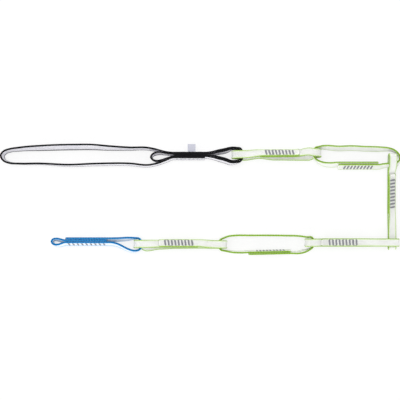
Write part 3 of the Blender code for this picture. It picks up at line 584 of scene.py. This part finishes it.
def standing(points, origin):
    """Stations along plan points of (x, y, lean, lift), for a strip that stands on edge."""
    stations = []
    for i, (x, y, lean, lift) in enumerate(points):
        a, b = points[max(i - 1, 0)], points[min(i + 1, len(points) - 1)]
        heading = Vector((b[0] - a[0], b[1] - a[1], 0.0))
        stations.append(standing_station((origin[0] + x, origin[1] + y), heading, lean, max(lift, 0.0)))
    return stations


def lift_for(height, lean=0.0):
    """How far a leaning strand is lifted to have its middle at a height."""
    return height - HALF_WIDTH * cos(radians(lean)) - HALF_THICK * abs(sin(radians(lean)))


def loop_tip(across, side, height):
    """Knots up the near tip of a standing loop, where a flat ring's fold goes through."""
    lift = lift_for(height)
    return [
        (TIP_DEPTH, across - side, 0, lift),
        (TIP_ROUND, across - side + TIP_CORNER, 0, lift),
        (0, across, 0, lift),
        (TIP_ROUND, across + side - TIP_CORNER, 0, lift),
        (TIP_DEPTH, across + side, 0, lift),
    ]


def far_tip(length, across, side, height):
    """The same knots at the far tip, from the top of the plan to its bottom."""
    return [(length - x, y, lean, lift) for x, y, lean, lift in reversed(loop_tip(across, side, height))]


def chain_loop(sewn_from, sewn_to, sewn_lean, way_round, tail=0.0):
    """A standing chain ring: its strip, from its inner end round to its outer end.

    sewn_from and sewn_to are the right and left ends of the sewn leg's inner layer, and
    way_round the knots from the one, round the ring, to the other. tail lengthens the outer end.
    """
    left = ((sewn_to[0] - sewn_from[0]) / OVERLAP, (sewn_to[1] - sewn_from[1]) / OVERLAP)
    shift = GREEN_PITCH / cos(radians(sewn_lean))
    outwards = (-left[1] * shift, left[0] * shift)
    inner = [(*sewn_from, sewn_lean, 0), (*sewn_to, sewn_lean, 0)]
    outer = [(x + outwards[0], y + outwards[1], lean, lift) for x, y, lean, lift in inner]
    round_it = spline([inner[1], *way_round, outer[0]], left, left)
    x, y, lean, lift = outer[1]
    end = (x + left[0] * tail, y + left[1] * tail, lean, lift)
    return inner, inner[:1] + round_it + [end], outer


def middle_of(ends, origin):
    """The station halfway along a straight sewn layer."""
    (a, b), lean = ends, ends[0][2]
    heading = Vector((b[0] - a[0], b[1] - a[1], 0.0))
    return standing_station((origin[0] + (a[0] + b[0]) / 2, origin[1] + (a[1] + b[1]) / 2), heading, lean, 0)


def flat_ring(ring, origin, heading, length, near, far, tilt, sewn_middle, top_drift, bottom_drift, tail=0.0):
    """A chain ring that lies flat, its outer end coming over from its near fold.

    near and far are its ends. The drifts say how far the top and bottom legs lie to the left of the
    ring's line, at places along it. tail lengthens the outer end.
    """
    heading, left, up = Vector((*heading, 0)), Vector((-heading[1], heading[0], 0)), Vector((0, 0, 1))
    lean, dip = sin(radians(tilt)), cos(radians(tilt))
    near_centre, far_centre = near.radius + HALF_THICK, length - far.radius - HALF_THICK
    near_level, far_level = near_centre + near.hold, far_centre - far.hold
    start, stop = sewn_middle - OVERLAP / 2, sewn_middle + OVERLAP / 2
    seam_start, seam_stop = sewn_middle - SEAM_LENGTH / 2, sewn_middle + SEAM_LENGTH / 2
    near_top, far_top = near.base + 2 * near.radius, far.base + 2 * far.radius
    sewn_height = WEBBING_THICKNESS + ARCH + HALF_WIDTH * abs(lean) + (HALF_THICK + THREAD_ROOM) * dip
    heights = (
        (near_level, near_top),
        (seam_start, sewn_height),
        (seam_stop, sewn_height),
        (far_level, far_top),
    )
    tilts = ((near_level, 0.0), (seam_start, tilt), (seam_stop, tilt), (far_level, 0.0))
    bases = (
        (near_level, near.base),
        (near_level + LEG_FALL, HALF_THICK),
        (far_level - LEG_FALL, HALF_THICK),
        (far_level, far.base),
    )

    def spread(*stops):
        """Places from each stop to the following one, as far as the last."""
        places = []
        for a, b in zip(stops, stops[1:]):
            count = max(1, ceil(abs(b - a) / CURVE_STEP))
            places += [a + (b - a) * n / count for n in range(count)]
        return places + [stops[-1]]

    def fold(end, centre, side, low_drift, high_drift):
        """Half a turn round an end, from its lower leg to its upper leg."""
        return [
            (
                centre + side * end.radius * sin(pi * n / FOLD_STEPS),
                end.base + end.radius * (1 - cos(pi * n / FOLD_STEPS)),
                low_drift + (high_drift - low_drift) * n / FOLD_STEPS,
                0.0,
                0.0,
            )
            for n in range(FOLD_STEPS + 1)
        ]

    top = [
        (u, look_up(heights, u), look_up(top_drift, u), look_up(tilts, u), 0.0)
        for u in spread(start, seam_start, seam_stop, stop, far_level, far_centre)
    ]
    bottom = [
        (u, look_up(bases, u), look_up(bottom_drift, u), 0.0, 0.0)
        for u in spread(far_centre, near_centre)
    ]
    rises = ((near_level, 0.0), (start - TAIL_LEAD, GREEN_PITCH))
    over = [
        (u, look_up(heights, u), look_up(top_drift, u), look_up(tilts, u), look_up(rises, u))
        for u in spread(near_centre, near_level, start, seam_start, seam_stop, stop + tail)
    ]
    far_drifts = [look_up(drift, far_centre) for drift in (bottom_drift, top_drift)]
    near_drifts = [look_up(drift, near_centre) for drift in (bottom_drift, top_drift)]
    far_fold = fold(far, far_centre, 1, *far_drifts)[::-1]
    near_fold = fold(near, near_centre, -1, *near_drifts)
    line = top + far_fold[1:] + bottom[1:] + near_fold[1:] + over[1:]
    places = [origin + heading * u + left * drift + up * height for u, height, drift, _, _ in line]
    stations = []
    for i, (place, (_, _, _, turn, rise)) in enumerate(zip(places, line)):
        along = (places[min(i + 1, len(places) - 1)] - places[max(i - 1, 0)]).normalized()
        across = (left - along * left.dot(along)).normalized()
        face = along.cross(across)
        turned = Matrix.Rotation(radians(turn), 3, along)
        across, face = turned @ across, turned @ face
        stations.append(Station(place + face * rise, across, face))
    strip(ring, stations, green_edge)
    across, face = left * dip + up * lean, up * dip - left * lean
    middle = origin + heading * sewn_middle + left * look_up(top_drift, sewn_middle) + up * sewn_height
    inner = Station(middle, across, face)
    outer = Station(middle + face * GREEN_PITCH, across, face)
    sewn(ring, GREEN_TACKS, GREEN_SPACING, outer, inner)


def round_strand(slack):
    """The end of a flat ring that folds round a standing strand."""
    return End(FOLD_RADIUS, HALF_THICK, slack)


def across_flat_ring(base):
    """The end of a flat ring that is hooked into another flat ring."""
    hold = 2 * CROSS_SLACK + WEBBING_WIDTH + HALF_THICK - CROSS_PITCH
    return End(CROSS_PITCH, base, hold)


# Standing rings: each table holds knots of (x, y, lean, lift), in mm and degrees, fitted to the photograph


def tie_in_ring(tip):
    """One strip: the lower tail, the big loop, the eye, the teardrop, the eye again, the inner tail."""
    right, left, lean, pitch = -TIE_IN_EYE, -TIE_IN_EYE - TIE_IN_SEAM, TIE_IN_LEAN, BLACK_PITCH
    end, drop = left - TIE_IN_LOOP, left - TEARDROP
    lift = lift_for(DOUBLE_HEIGHT)
    side, nose = TIP_SIDE + EYE_PITCH, EYE_PITCH / 2
    layers = [(2 - n) * pitch for n in range(5)]
    loop = [
        (left, layers[4], -lean, 0),
        (left - 12.3, -7.8, -13, 0),
        (left - 24.6, -11.7, -12, 0),
        (left - 32.9, -13.3, -12, 0),
        (left - 60.4, -11.4, -14, 0),
        (left - 108.5, -11.7, -13, 0),
        (left - 142.9, -13.2, -9, 0),
        (left - 184.1, -11.7, -3, 0),
        (end + 25.6, -11.9, 0, 0),
        (end + 11.8, -11.1, 4, 0),
        (end + 4.4, -8.2, 10, 0),
        (end + 0.8, -3.9, 18, 0),
        (end, 0, 22, 0),
        (end + 1.8, 3.2, 23, 0),
        (end + 5.6, 6.2, 22, 0),
        (end + 11.8, 8.3, 22, 0),
        (end + 25.6, 10.6, 27, 0),
        (end + 60, 13.8, 44, 0),
        (left - 136, 15.1, 48, 0),
        (left - 112, 15.0, 46, 0),
        (left - 88, 12.7, 34, 0),
        (left - 60.4, 10.6, 20, 0),
        (left - 35, 10.1, 16, 0),
        (left - 24.6, 8.0, lean, 0),
        (left - 9.5, 4.4, lean, 0),
        (left, layers[0], lean, 0),
    ]
    eye = [
        (right, layers[0], lean, 0),
        (right + 9.8, 4.7, lean, 0),
        (right + 18, 6.7, 17, 0),
        (right + 27.6, 8.7, 18, 0),
        (-16.5, side + 0.2, 12, lift / 2),
        (-11.5, side + 0.5, 2, lift),
        (-6, side, 0, lift),
        (nose - 2.3, side - 0.9, 0, lift),
        (nose - 0.25, side - 3.9, 0, lift),
        (nose, 0, 0, lift),
        (nose - 0.25, 3.9 - side, 0, lift),
        (nose - 2.3, 0.9 - side, 0, lift),
        (-7.5, -side - 0.6, -8, lift),
        (-14, -side - 0.4, -16, lift / 2),
        (right + 27.6, -7.2, -19, 0),
        (right + 20.8, -5.4, -18, 0),
        (right + 11, -3.2, -lean, 0),
        (right, layers[3], -lean, 0),
    ]
    teardrop = [
        (left, layers[3], -lean, 0),
        (left - 9.5, -4.0, -lean, 0),
        (left - 16.4, -6.6, -10, 0),
        (left - 23.3, -8.0, -6, 0),
        (drop + 2.7, -6.6, 0, 0),
        (drop, -3.2, 8, 0),
        (drop + 1.8, 0.8, 14, 0),
        (drop + 6.2, 3.4, 18, 0),
        (left - 19.8, 4.1, 18, 0),
        (left - 12.3, 2.8, lean, 0),
        (left, layers[1], lean, 0),
    ]
    east, west = (1.0, 0.0), (-1.0, 0.0)
    outer_eye = spline(eye, east, west)
    inner_eye = inside(outer_eye)
    line = [(right, layers[4], -lean, 0)]
    line += spline(loop, west, east)
    line += outer_eye
    line += spline(teardrop, west, east)
    line += inner_eye
    line += [(left, layers[2], -lean, 0)]
    strip("tie_in", standing(line, tip), black_edge)
    top = middle_of([(left, layers[0], lean), (right, layers[0], lean)], tip)
    low = middle_of([(right, layers[4], -lean), (left, layers[4], -lean)], tip)
    seam("tie_in", "needle", BLACK_TACKS, BLACK_SPACING, low, 1)
    seam("tie_in", "bobbin", BLACK_TACKS, BLACK_SPACING, top, 1)
    return top


def end_ring(tip):
    """One strip: the upper tail, the loop, the small eye, and back between the two to the inner tail."""
    right, left, lean, pitch = -END_LOOP, -END_LOOP - END_SEAM, END_LEAN, BLUE_PITCH
    upper, inner, lower = END_SIDE + pitch, END_SIDE, END_SIDE - pitch
    end = left - END_EYE
    tip_knots = far_tip(0.0, 0.0, TIP_SIDE, SINGLE_HEIGHT)
    loop = [
        (right, upper, lean, 0),
        (right + 17.2, 8.8, lean, 0),
        (right + 28.2, 9.3, 22, 0),
        (-9.5, 8.8, 10, lift_for(SINGLE_HEIGHT)),
        *tip_knots,
        (-7.5, -8.6, -8, lift_for(SINGLE_HEIGHT)),
        (-12.4, -8.1, -14, 1),
        (-18, -6.1, -18, 0),
        (-22.4, -3.9, -20, 0),
        (-28, -0.9, -22, 0),
        (-34, 1.6, -24, 0),
        (-40, 2.8, -lean, 0),
        (right, lower, -lean, 0),
    ]
    eye = [
        (left, lower, -lean, 0),
        (left - 4.2, 1.9, -24, 0),
        (left - 9, 0.1, -18, 0),
        (left - 13.8, -0.4, -8, 0),
        (end + 1.5, 1.0, 4, 0),
        (end, 3.85, 10, 0),
        (end + 1.4, 6.6, 14, 0),
        (left - 12.4, 8.0, 18, 0),
        (left - 6.9, 7.2, 22, 0),
        (left, inner, lean, 0),
    ]
    line = [(left, upper, lean, 0)]
    line += spline(loop, (1.0, 0.0), (-1.0, 0.0))
    line += spline(eye, (-1.0, 0.0), (1.0, 0.0))
    line += [(right, inner, lean, 0)]
    strip("end", standing(line, tip), blue_edge)
    low = middle_of([(right, lower, -lean), (left, lower, -lean)], tip)
    top = middle_of([(left, upper, lean), (right, upper, lean)], tip)
    seam("end", "needle", BLUE_TACKS, BLUE_SPACING, low, 1)
    seam("end", "bobbin", BLUE_TACKS, BLUE_SPACING, top, 1)


def ring_2(tip):
    """The chain ring that stands between the flat rings 1 and 3."""
    hang, link = lift_for(SINGLE_HEIGHT), lift_for(SINGLE_HEIGHT, LINK_LEAN)
    length, crossing, below = RING_2_LENGTH, RING_2_LENGTH - HALF_WIDTH - CROSSING_IN, -CROSSING_SIDE
    middle, across = 61.0, -11.3  # of its sewn leg
    way_round = [
        (23, -12.1, -34, 0),
        (14.6, -11.8, -26, 0),
        (7.2, -TIP_SIDE - 2.7, -14, hang),
        *loop_tip(RING_1_SKEW / 2, TIP_SIDE + RING_1_SKEW / 2, SINGLE_HEIGHT),
        (6.2, TIP_SIDE + 2.2, 12, hang),
        (10.5, 10.8, 22, 0),
        (17, 11.5, 30, 0),
        (33.8, 10.6, 36, 0),
        (50.3, 11.1, 36, 0),
        (71, 10.2, 36, 0),
        (length - 26.4, 9.4, 34, 0),
        (length - 16.8, 8.2, 22, 0),
        (length - 9.5, 5.9, 12, 0),
        (length - 4.2, 1.9, 5, 0),
        (length - 0.7, -3.2, 0, 0),
        (length - 0.9, -7.4, -8, link / 2),
        (length - 3.4, -10.8, -20, link),
        (crossing + HALF_WIDTH, below + 0.6, -LINK_LEAN, link),
        (crossing, below, -LINK_LEAN, link),
        (crossing - HALF_WIDTH, below - 0.5, -LINK_LEAN, link),
        (length - 24, -13.7, -34, 0),
    ]
    ends = (middle + OVERLAP / 2, across), (middle - OVERLAP / 2, across)
    inner, line, outer = chain_loop(*ends, -RING_2_LEAN, way_round)
    strip("ring_2", standing(line, tip), green_edge)
    sewn("ring_2", GREEN_TACKS, GREEN_SPACING, middle_of(outer, tip), middle_of(inner, tip))
    return crossing, below - HALF_WIDTH * sin(radians(LINK_LEAN))


def ring_5(tip, far_across):
    """The chain ring that stands between the flat rings 4 and 6; tip is its left end."""
    hang, length = lift_for(SINGLE_HEIGHT), RING_5_LENGTH
    middle, half = 70.4, OVERLAP / 2  # of its sewn leg
    way_round = [
        (29.8, -11.3, 8, 0),
        (18, -10.7, 6, 0),
        (11.5, -9.5, 4, 0),
        (6.2, -TIP_SIDE - 1.0, 0, hang),
        *loop_tip(0.0, TIP_SIDE, SINGLE_HEIGHT),
        (6.2, TIP_SIDE + 1.8, 0, hang),
        (12, 11.2, 0, 0),
        (20.5, 12.3, 0, 0),
        (42, 12.5, 0, 0),
        (length - 38, 12.2, 0, 0),
        (length - 17.6, 11.5, 0, 0),
        (length - 9, far_across + TIP_SIDE + 0.4, 0, hang),
        *far_tip(length, far_across, TIP_SIDE, SINGLE_HEIGHT),
        (length - 5.4, far_across - TIP_SIDE - 2.5, 8, hang),
        (length - 9.1, -9.6, 14, 0),
        (length - 14.1, -11.4, 17, 0),
        (length - 21, -12.4, 14, 0),
    ]
    ends = [(middle + way * half, way * RING_5_SLANT * half - RING_5_SIDE) for way in (1, -1)]
    inner, line, outer = chain_loop(*ends, RING_5_LEAN, way_round, RING_5_TAIL)
    strip("ring_5", standing(line, tip), green_edge)
    sewn("ring_5", GREEN_TACKS, GREEN_SPACING, middle_of(outer, tip), middle_of(inner, tip))


def label(root):
    """A short ribbon, folded in two, with its loose ends sewn into the seam. Its print is left off."""
    half, rise = LABEL_WIDTH / 2, LABEL_THICKNESS / 2
    bend, radius = LABEL_LENGTH - rise, rise - LABEL_LAYER / 2
    parts = [n / LABEL_TURNS for n in range(LABEL_TURNS + 1)]
    upper = [(bend * part - LABEL_ROOT * (1 - part), radius) for part in parts]
    fold = [(bend + radius * sin(pi * part), radius * cos(pi * part)) for part in parts[1:-1]]
    lower = [(out, -up) for out, up in reversed(upper)]
    middle_line = upper + fold + lower
    columns = [half * (2 * n / LABEL_STEPS - 1) for n in range(LABEL_STEPS + 1)]
    mesh = bmesh.new()
    rows = []
    for i, (out, up) in enumerate(middle_line):
        a, b = middle_line[max(i - 1, 0)], middle_line[min(i + 1, len(middle_line) - 1)]
        span = hypot(b[0] - a[0], b[1] - a[1])
        normal = Vector((0, -(b[1] - a[1]) / span, (b[0] - a[0]) / span)) * LABEL_LAYER / 2
        place = root + Vector((0, out, up))
        row = []
        for way, line in ((1, columns), (-1, columns[::-1])):
            for x in line:
                hem = 1.0 if abs(x) > half - LABEL_HEM else LABEL_MIDDLE
                row.append(mesh.verts.new((place + Vector((x, 0, 0)) + normal * way * hem) * MM))
        rows.append(row)
    for row, following in zip(rows, rows[1:]):
        for i in range(len(row)):
            j = (i + 1) % len(row)
            mesh.faces.new((row[i], row[j], following[j], following[i]))
    for row in (rows[0], rows[-1]):
        mesh.faces.new(row)
    piece("label_ribbon", mesh, (ribbon,), "label", "label_tab")


def chain_start():
    """The tip of the tie-in ring's eye on the surface, from the joint that the frame has there."""
    joint = next(j for j in frame["joints"] if j["child"] == "ring_1")
    return Vector(joint["pos_m"]) / MM - Vector((0, 0, DOUBLE_HEIGHT))


def seen_directly(tree):
    """1 for rays from the camera, and for those that a glossy or clear surface sends on."""
    path = add_node(tree, "LightPath").outputs
    sent_on = {0: path["Is Glossy Ray"], 1: path["Is Transmission Ray"]}
    mirrored = add_node(tree, "Math", sent_on, operation="MAXIMUM").outputs[0]
    return add_node(tree, "Math", {0: path["Is Camera Ray"], 1: mirrored}, operation="MAXIMUM").outputs[0]


def table():
    """A plain matt white table top, which the camera sees bright enough to be white but for shadows."""
    made = bpy.data.materials.new("white laminate table top")
    made.use_nodes = True
    tree = made.node_tree
    tree.nodes.clear()
    plain = add_node(tree, "BsdfDiffuse", {"Color": linear("#f2f2f2")})
    lit = add_node(tree, "BsdfDiffuse", {"Color": (1.0, 1.0, 1.0, 1.0)})
    glow = add_node(tree, "Emission", {"Color": (1.0, 1.0, 1.0, 1.0), "Strength": 1.0})
    bright = add_node(tree, "MixShader", {0: TABLE_GLOW, 1: lit.outputs[0], 2: glow.outputs[0]})
    mixed = add_node(tree, "MixShader", {0: seen_directly(tree), 1: plain.outputs[0], 2: bright.outputs[0]})
    add_node(tree, "OutputMaterial", {"Surface": mixed.outputs[0]})
    reach, height = TABLE_REACH * MM, -TABLE_DROP * MM
    mesh = bmesh.new()
    corners = ((-reach, -reach), (reach, -reach), (reach, reach), (-reach, reach))
    mesh.faces.new([mesh.verts.new((x, y, height)) for x, y in corners])
    data = bpy.data.meshes.new("table_top")
    mesh.to_mesh(data)
    mesh.free()
    data.materials.append(made)
    top = bpy.data.objects.new("table_top", data)
    bpy.context.collection.objects.link(top)


def light_and_camera():
    """Soft even light from all round, broad lamps above and low at both sides, and the camera straight
    over the chain. The lamps' places and sizes are in metres, and their power in watts."""
    world = bpy.data.worlds.new("studio")
    bpy.context.scene.world = world
    world.use_nodes = True
    tree = world.node_tree
    tree.nodes.clear()
    glow = add_node(tree, "MapRange", {"Value": seen_directly(tree), "To Min": ROOM_LIGHT, "To Max": 1.0})
    sky = add_node(tree, "Background", {"Color": (1.0, 1.0, 1.0, 1.0), "Strength": glow.outputs[0]})
    add_node(tree, "OutputWorld", {"Surface": sky.outputs[0]})
    for name, place, size, power in (
        ("overhead softbox", (-0.25, 0.35, 1.3), 1.4, 6.5),
        ("low front softbox", (0.0, -1.5, 0.45), 1.2, 13.0),
        ("low rear softbox", (0.0, 1.5, 0.45), 1.2, 8.0),
    ):
        lamp = bpy.data.lights.new(name, "AREA")
        lamp.shape = "SQUARE"
        lamp.size = size
        lamp.energy = power
        made = bpy.data.objects.new(name, lamp)
        made.location = place
        made.rotation_euler = (-Vector(place)).to_track_quat("-Z", "Y").to_euler()
        bpy.context.collection.objects.link(made)
    view = bpy.data.cameras.new("camera")
    view.sensor_width = 36.0
    view.lens = view.sensor_width * EYE_HEIGHT / VIEW_WIDTH
    view.clip_end = 10.0
    made = bpy.data.objects.new("camera", view)
    made.location = Vector((*VIEW_MIDDLE, EYE_HEIGHT)) * MM
    bpy.context.collection.objects.link(made)
    bpy.context.scene.camera = made
    bpy.context.scene.view_settings.view_transform = "Standard"


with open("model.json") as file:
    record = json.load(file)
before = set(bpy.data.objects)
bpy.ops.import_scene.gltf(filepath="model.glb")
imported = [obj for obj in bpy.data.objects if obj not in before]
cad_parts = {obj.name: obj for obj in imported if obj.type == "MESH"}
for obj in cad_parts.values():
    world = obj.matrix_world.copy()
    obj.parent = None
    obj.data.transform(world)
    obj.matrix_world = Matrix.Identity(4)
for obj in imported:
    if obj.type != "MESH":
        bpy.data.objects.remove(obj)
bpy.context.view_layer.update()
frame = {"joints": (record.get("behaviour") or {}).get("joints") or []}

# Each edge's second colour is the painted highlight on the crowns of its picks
green_edge = Edge(
    (
        woven_tape(
            "woven white tape, green edges",
            ("#688c20", "#96be3a", 0.62, "#c2da9a", 2.4),
            ("#ecedea", "#e4e5e1"),
        ),
        melted_tape("melted tape, green corners", "#9ab46c", "#eeefea"),
    ),
    GREEN_BULGE,
    "green_webbing",
)
black_edge = Edge(
    (
        woven_tape(
            "woven pale tape, black edges",
            ("#08080a", "#141418", 1.8, "#606066", 2.2),
            ("#e6e5ea", "#dad9e0"),
        ),
        melted_tape("melted tape, black corners", "#101012", "#c9c9cc"),
    ),
    BLACK_BULGE,
    "black_webbing",
)
blue_edge = Edge(
    (
        woven_tape(
            "woven pale tape, blue edges",
            ("#024a80", "#0684c8", 0.75, "#56b2ee", 2.9),
            ("#f0f3f8", "#dfe7f0"),
            0.12,
        ),
        melted_tape("melted tape, blue corners", "#22608e", "#d8dce2"),
    ),
    BLUE_BULGE,
    "blue_webbing",
)
# Each thread's second colour is the painted shade in the line between its stitches
grey_thread = twisted_thread("grey sewing thread", "#8f9096", "#5f6066")
pale_thread = twisted_thread("pale sewing thread", "#c9c9ce", "#8b8b92")
tack_thread = {f"ring_{n}": grey_thread for n in range(1, 7)} | {"tie_in": pale_thread, "end": grey_thread}
# The ribbon's second colour is the painted shade in the hollows between its ribs
ribbon = label_ribbon("pale label ribbon", "#c8c9d4", "#afb0be")

EAST, NORTH, WEST = (1, 0), (0, 1), (-1, 0)

# The chain is laid out from the tip of the tie-in ring's eye, ring by ring
tie_in_tip = chain_start()
seam_top = tie_in_ring(tie_in_tip)

ring_1_start = tie_in_tip + Vector((-SLACK_TIE_IN_1 - FOLD_OUTER, 0, 0))
ring_1_rise = 1.65  # how far its far end lies to the left of its near end
flat_ring(
    "ring_1",
    ring_1_start,
    EAST,
    RING_1_LENGTH,
    near=round_strand(SLACK_TIE_IN_1),
    far=round_strand(SLACK_1_2),
    tilt=RING_1_TILT,
    sewn_middle=65.6,
    top_drift=(
        (FOLD_OUTER, FOLD_DRIFT),
        (40, 1.3),
        (86, 1.6),
        (105, 4.4),
        (RING_1_LENGTH - FOLD_OUTER, ring_1_rise + FOLD_DRIFT + RING_1_SKEW),
    ),
    bottom_drift=(
        (FOLD_OUTER, -FOLD_DRIFT),
        (17, -2.3),
        (38, 0.3),
        (60, -1.9),
        (RING_1_LENGTH - 17.5, -2.3),
        (RING_1_LENGTH - FOLD_OUTER, ring_1_rise - FOLD_DRIFT),
    ),
)

ring_2_tip = ring_1_start + Vector((RING_1_LENGTH - FOLD_OUTER - SLACK_1_2, ring_1_rise, 0))
crossing_along, crossing_across = ring_2(ring_2_tip)

ring_3_link = ring_2_tip + Vector((crossing_along, crossing_across, 0))
ring_3_end = ring_3_link.y + SLACK_2_3 + FOLD_OUTER
ring_3_start = Vector((ring_3_link.x, ring_3_end - RING_3_LENGTH, 0))
flat_ring(
    "ring_3",
    ring_3_start,
    NORTH,
    RING_3_LENGTH,
    near=across_flat_ring(HALF_THICK),
    far=round_strand(SLACK_2_3),
    tilt=RING_3_TILT,
    sewn_middle=76.7,
    top_drift=((20, 0.0), (56, 1.9), (98, 1.9), (RING_3_LENGTH - FOLD_OUTER, 0.0)),
    bottom_drift=((20, 0.0), (50, 0.6), (100, 0.4), (RING_3_LENGTH - FOLD_OUTER, 0.0)),
)

ring_4_across = ring_3_start.y + WEBBING_THICKNESS + CROSS_SLACK + HALF_WIDTH
ring_4_start = Vector((ring_3_link.x + HALF_WIDTH + CROSS_SLACK + WEBBING_THICKNESS, ring_4_across, 0))
flat_ring(
    "ring_4",
    ring_4_start,
    WEST,
    RING_4_LENGTH,
    near=across_flat_ring(HALF_THICK + CROSS_PITCH),
    far=round_strand(SLACK_4_5),
    tilt=RING_4_TILT,
    sewn_middle=77.5,
    top_drift=((20, 0.0), (48, -0.3), (104, -0.3), (RING_4_LENGTH - FOLD_OUTER, 0.1)),
    bottom_drift=((20, 0.0), (48, 0.3), (104, 0.3), (RING_4_LENGTH - FOLD_OUTER, 0.1)),
    tail=RING_4_TAIL,
)

ring_5_right = ring_4_start + Vector((-RING_4_LENGTH + FOLD_OUTER + SLACK_4_5, 0, 0))
ring_5_slant = 2.6  # how far its right tip lies above its left one
ring_5_tip = ring_5_right - Vector((RING_5_LENGTH, ring_5_slant, 0))
ring_5(ring_5_tip, ring_5_slant)

ring_6_start = ring_5_tip + Vector((SLACK_5_6 + FOLD_OUTER, 0, 0))
ring_6_rise = -0.55  # how far its far end lies to the left of its near end
flat_ring(
    "ring_6",
    ring_6_start,
    WEST,
    RING_6_LENGTH,
    near=round_strand(SLACK_5_6),
    far=round_strand(SLACK_6_END),
    tilt=RING_6_TILT,
    sewn_middle=66.1,
    top_drift=(
        (FOLD_OUTER, -FOLD_DRIFT),
        (38, -1.2),
        (94, -1.2),
        (RING_6_LENGTH - FOLD_OUTER, ring_6_rise - FOLD_DRIFT),
    ),
    bottom_drift=(
        (FOLD_OUTER, FOLD_DRIFT),
        (40, 0.3),
        (71, 0.7),
        (92, 1.6),
        (RING_6_LENGTH - 17.5, 4.1),
        (RING_6_LENGTH - FOLD_OUTER, ring_6_rise + FOLD_DRIFT),
    ),
)

end_tip = ring_6_start + Vector((-RING_6_LENGTH + FOLD_OUTER + SLACK_6_END, -ring_6_rise, 0))
end_ring(end_tip)

label_root = seam_top.middle + seam_top.face * (HALF_THICK + THREAD_ROOM + FIT + LABEL_THICKNESS / 2)
label_root.x = tie_in_tip.x - TIE_IN_EYE - TIE_IN_SEAM + LABEL_ALONG
label_root.y += (LABEL_HEIGHT - label_root.z) * sin(radians(TIE_IN_LEAN))
label_root.z = LABEL_HEIGHT
label(label_root)

table()
light_and_camera()
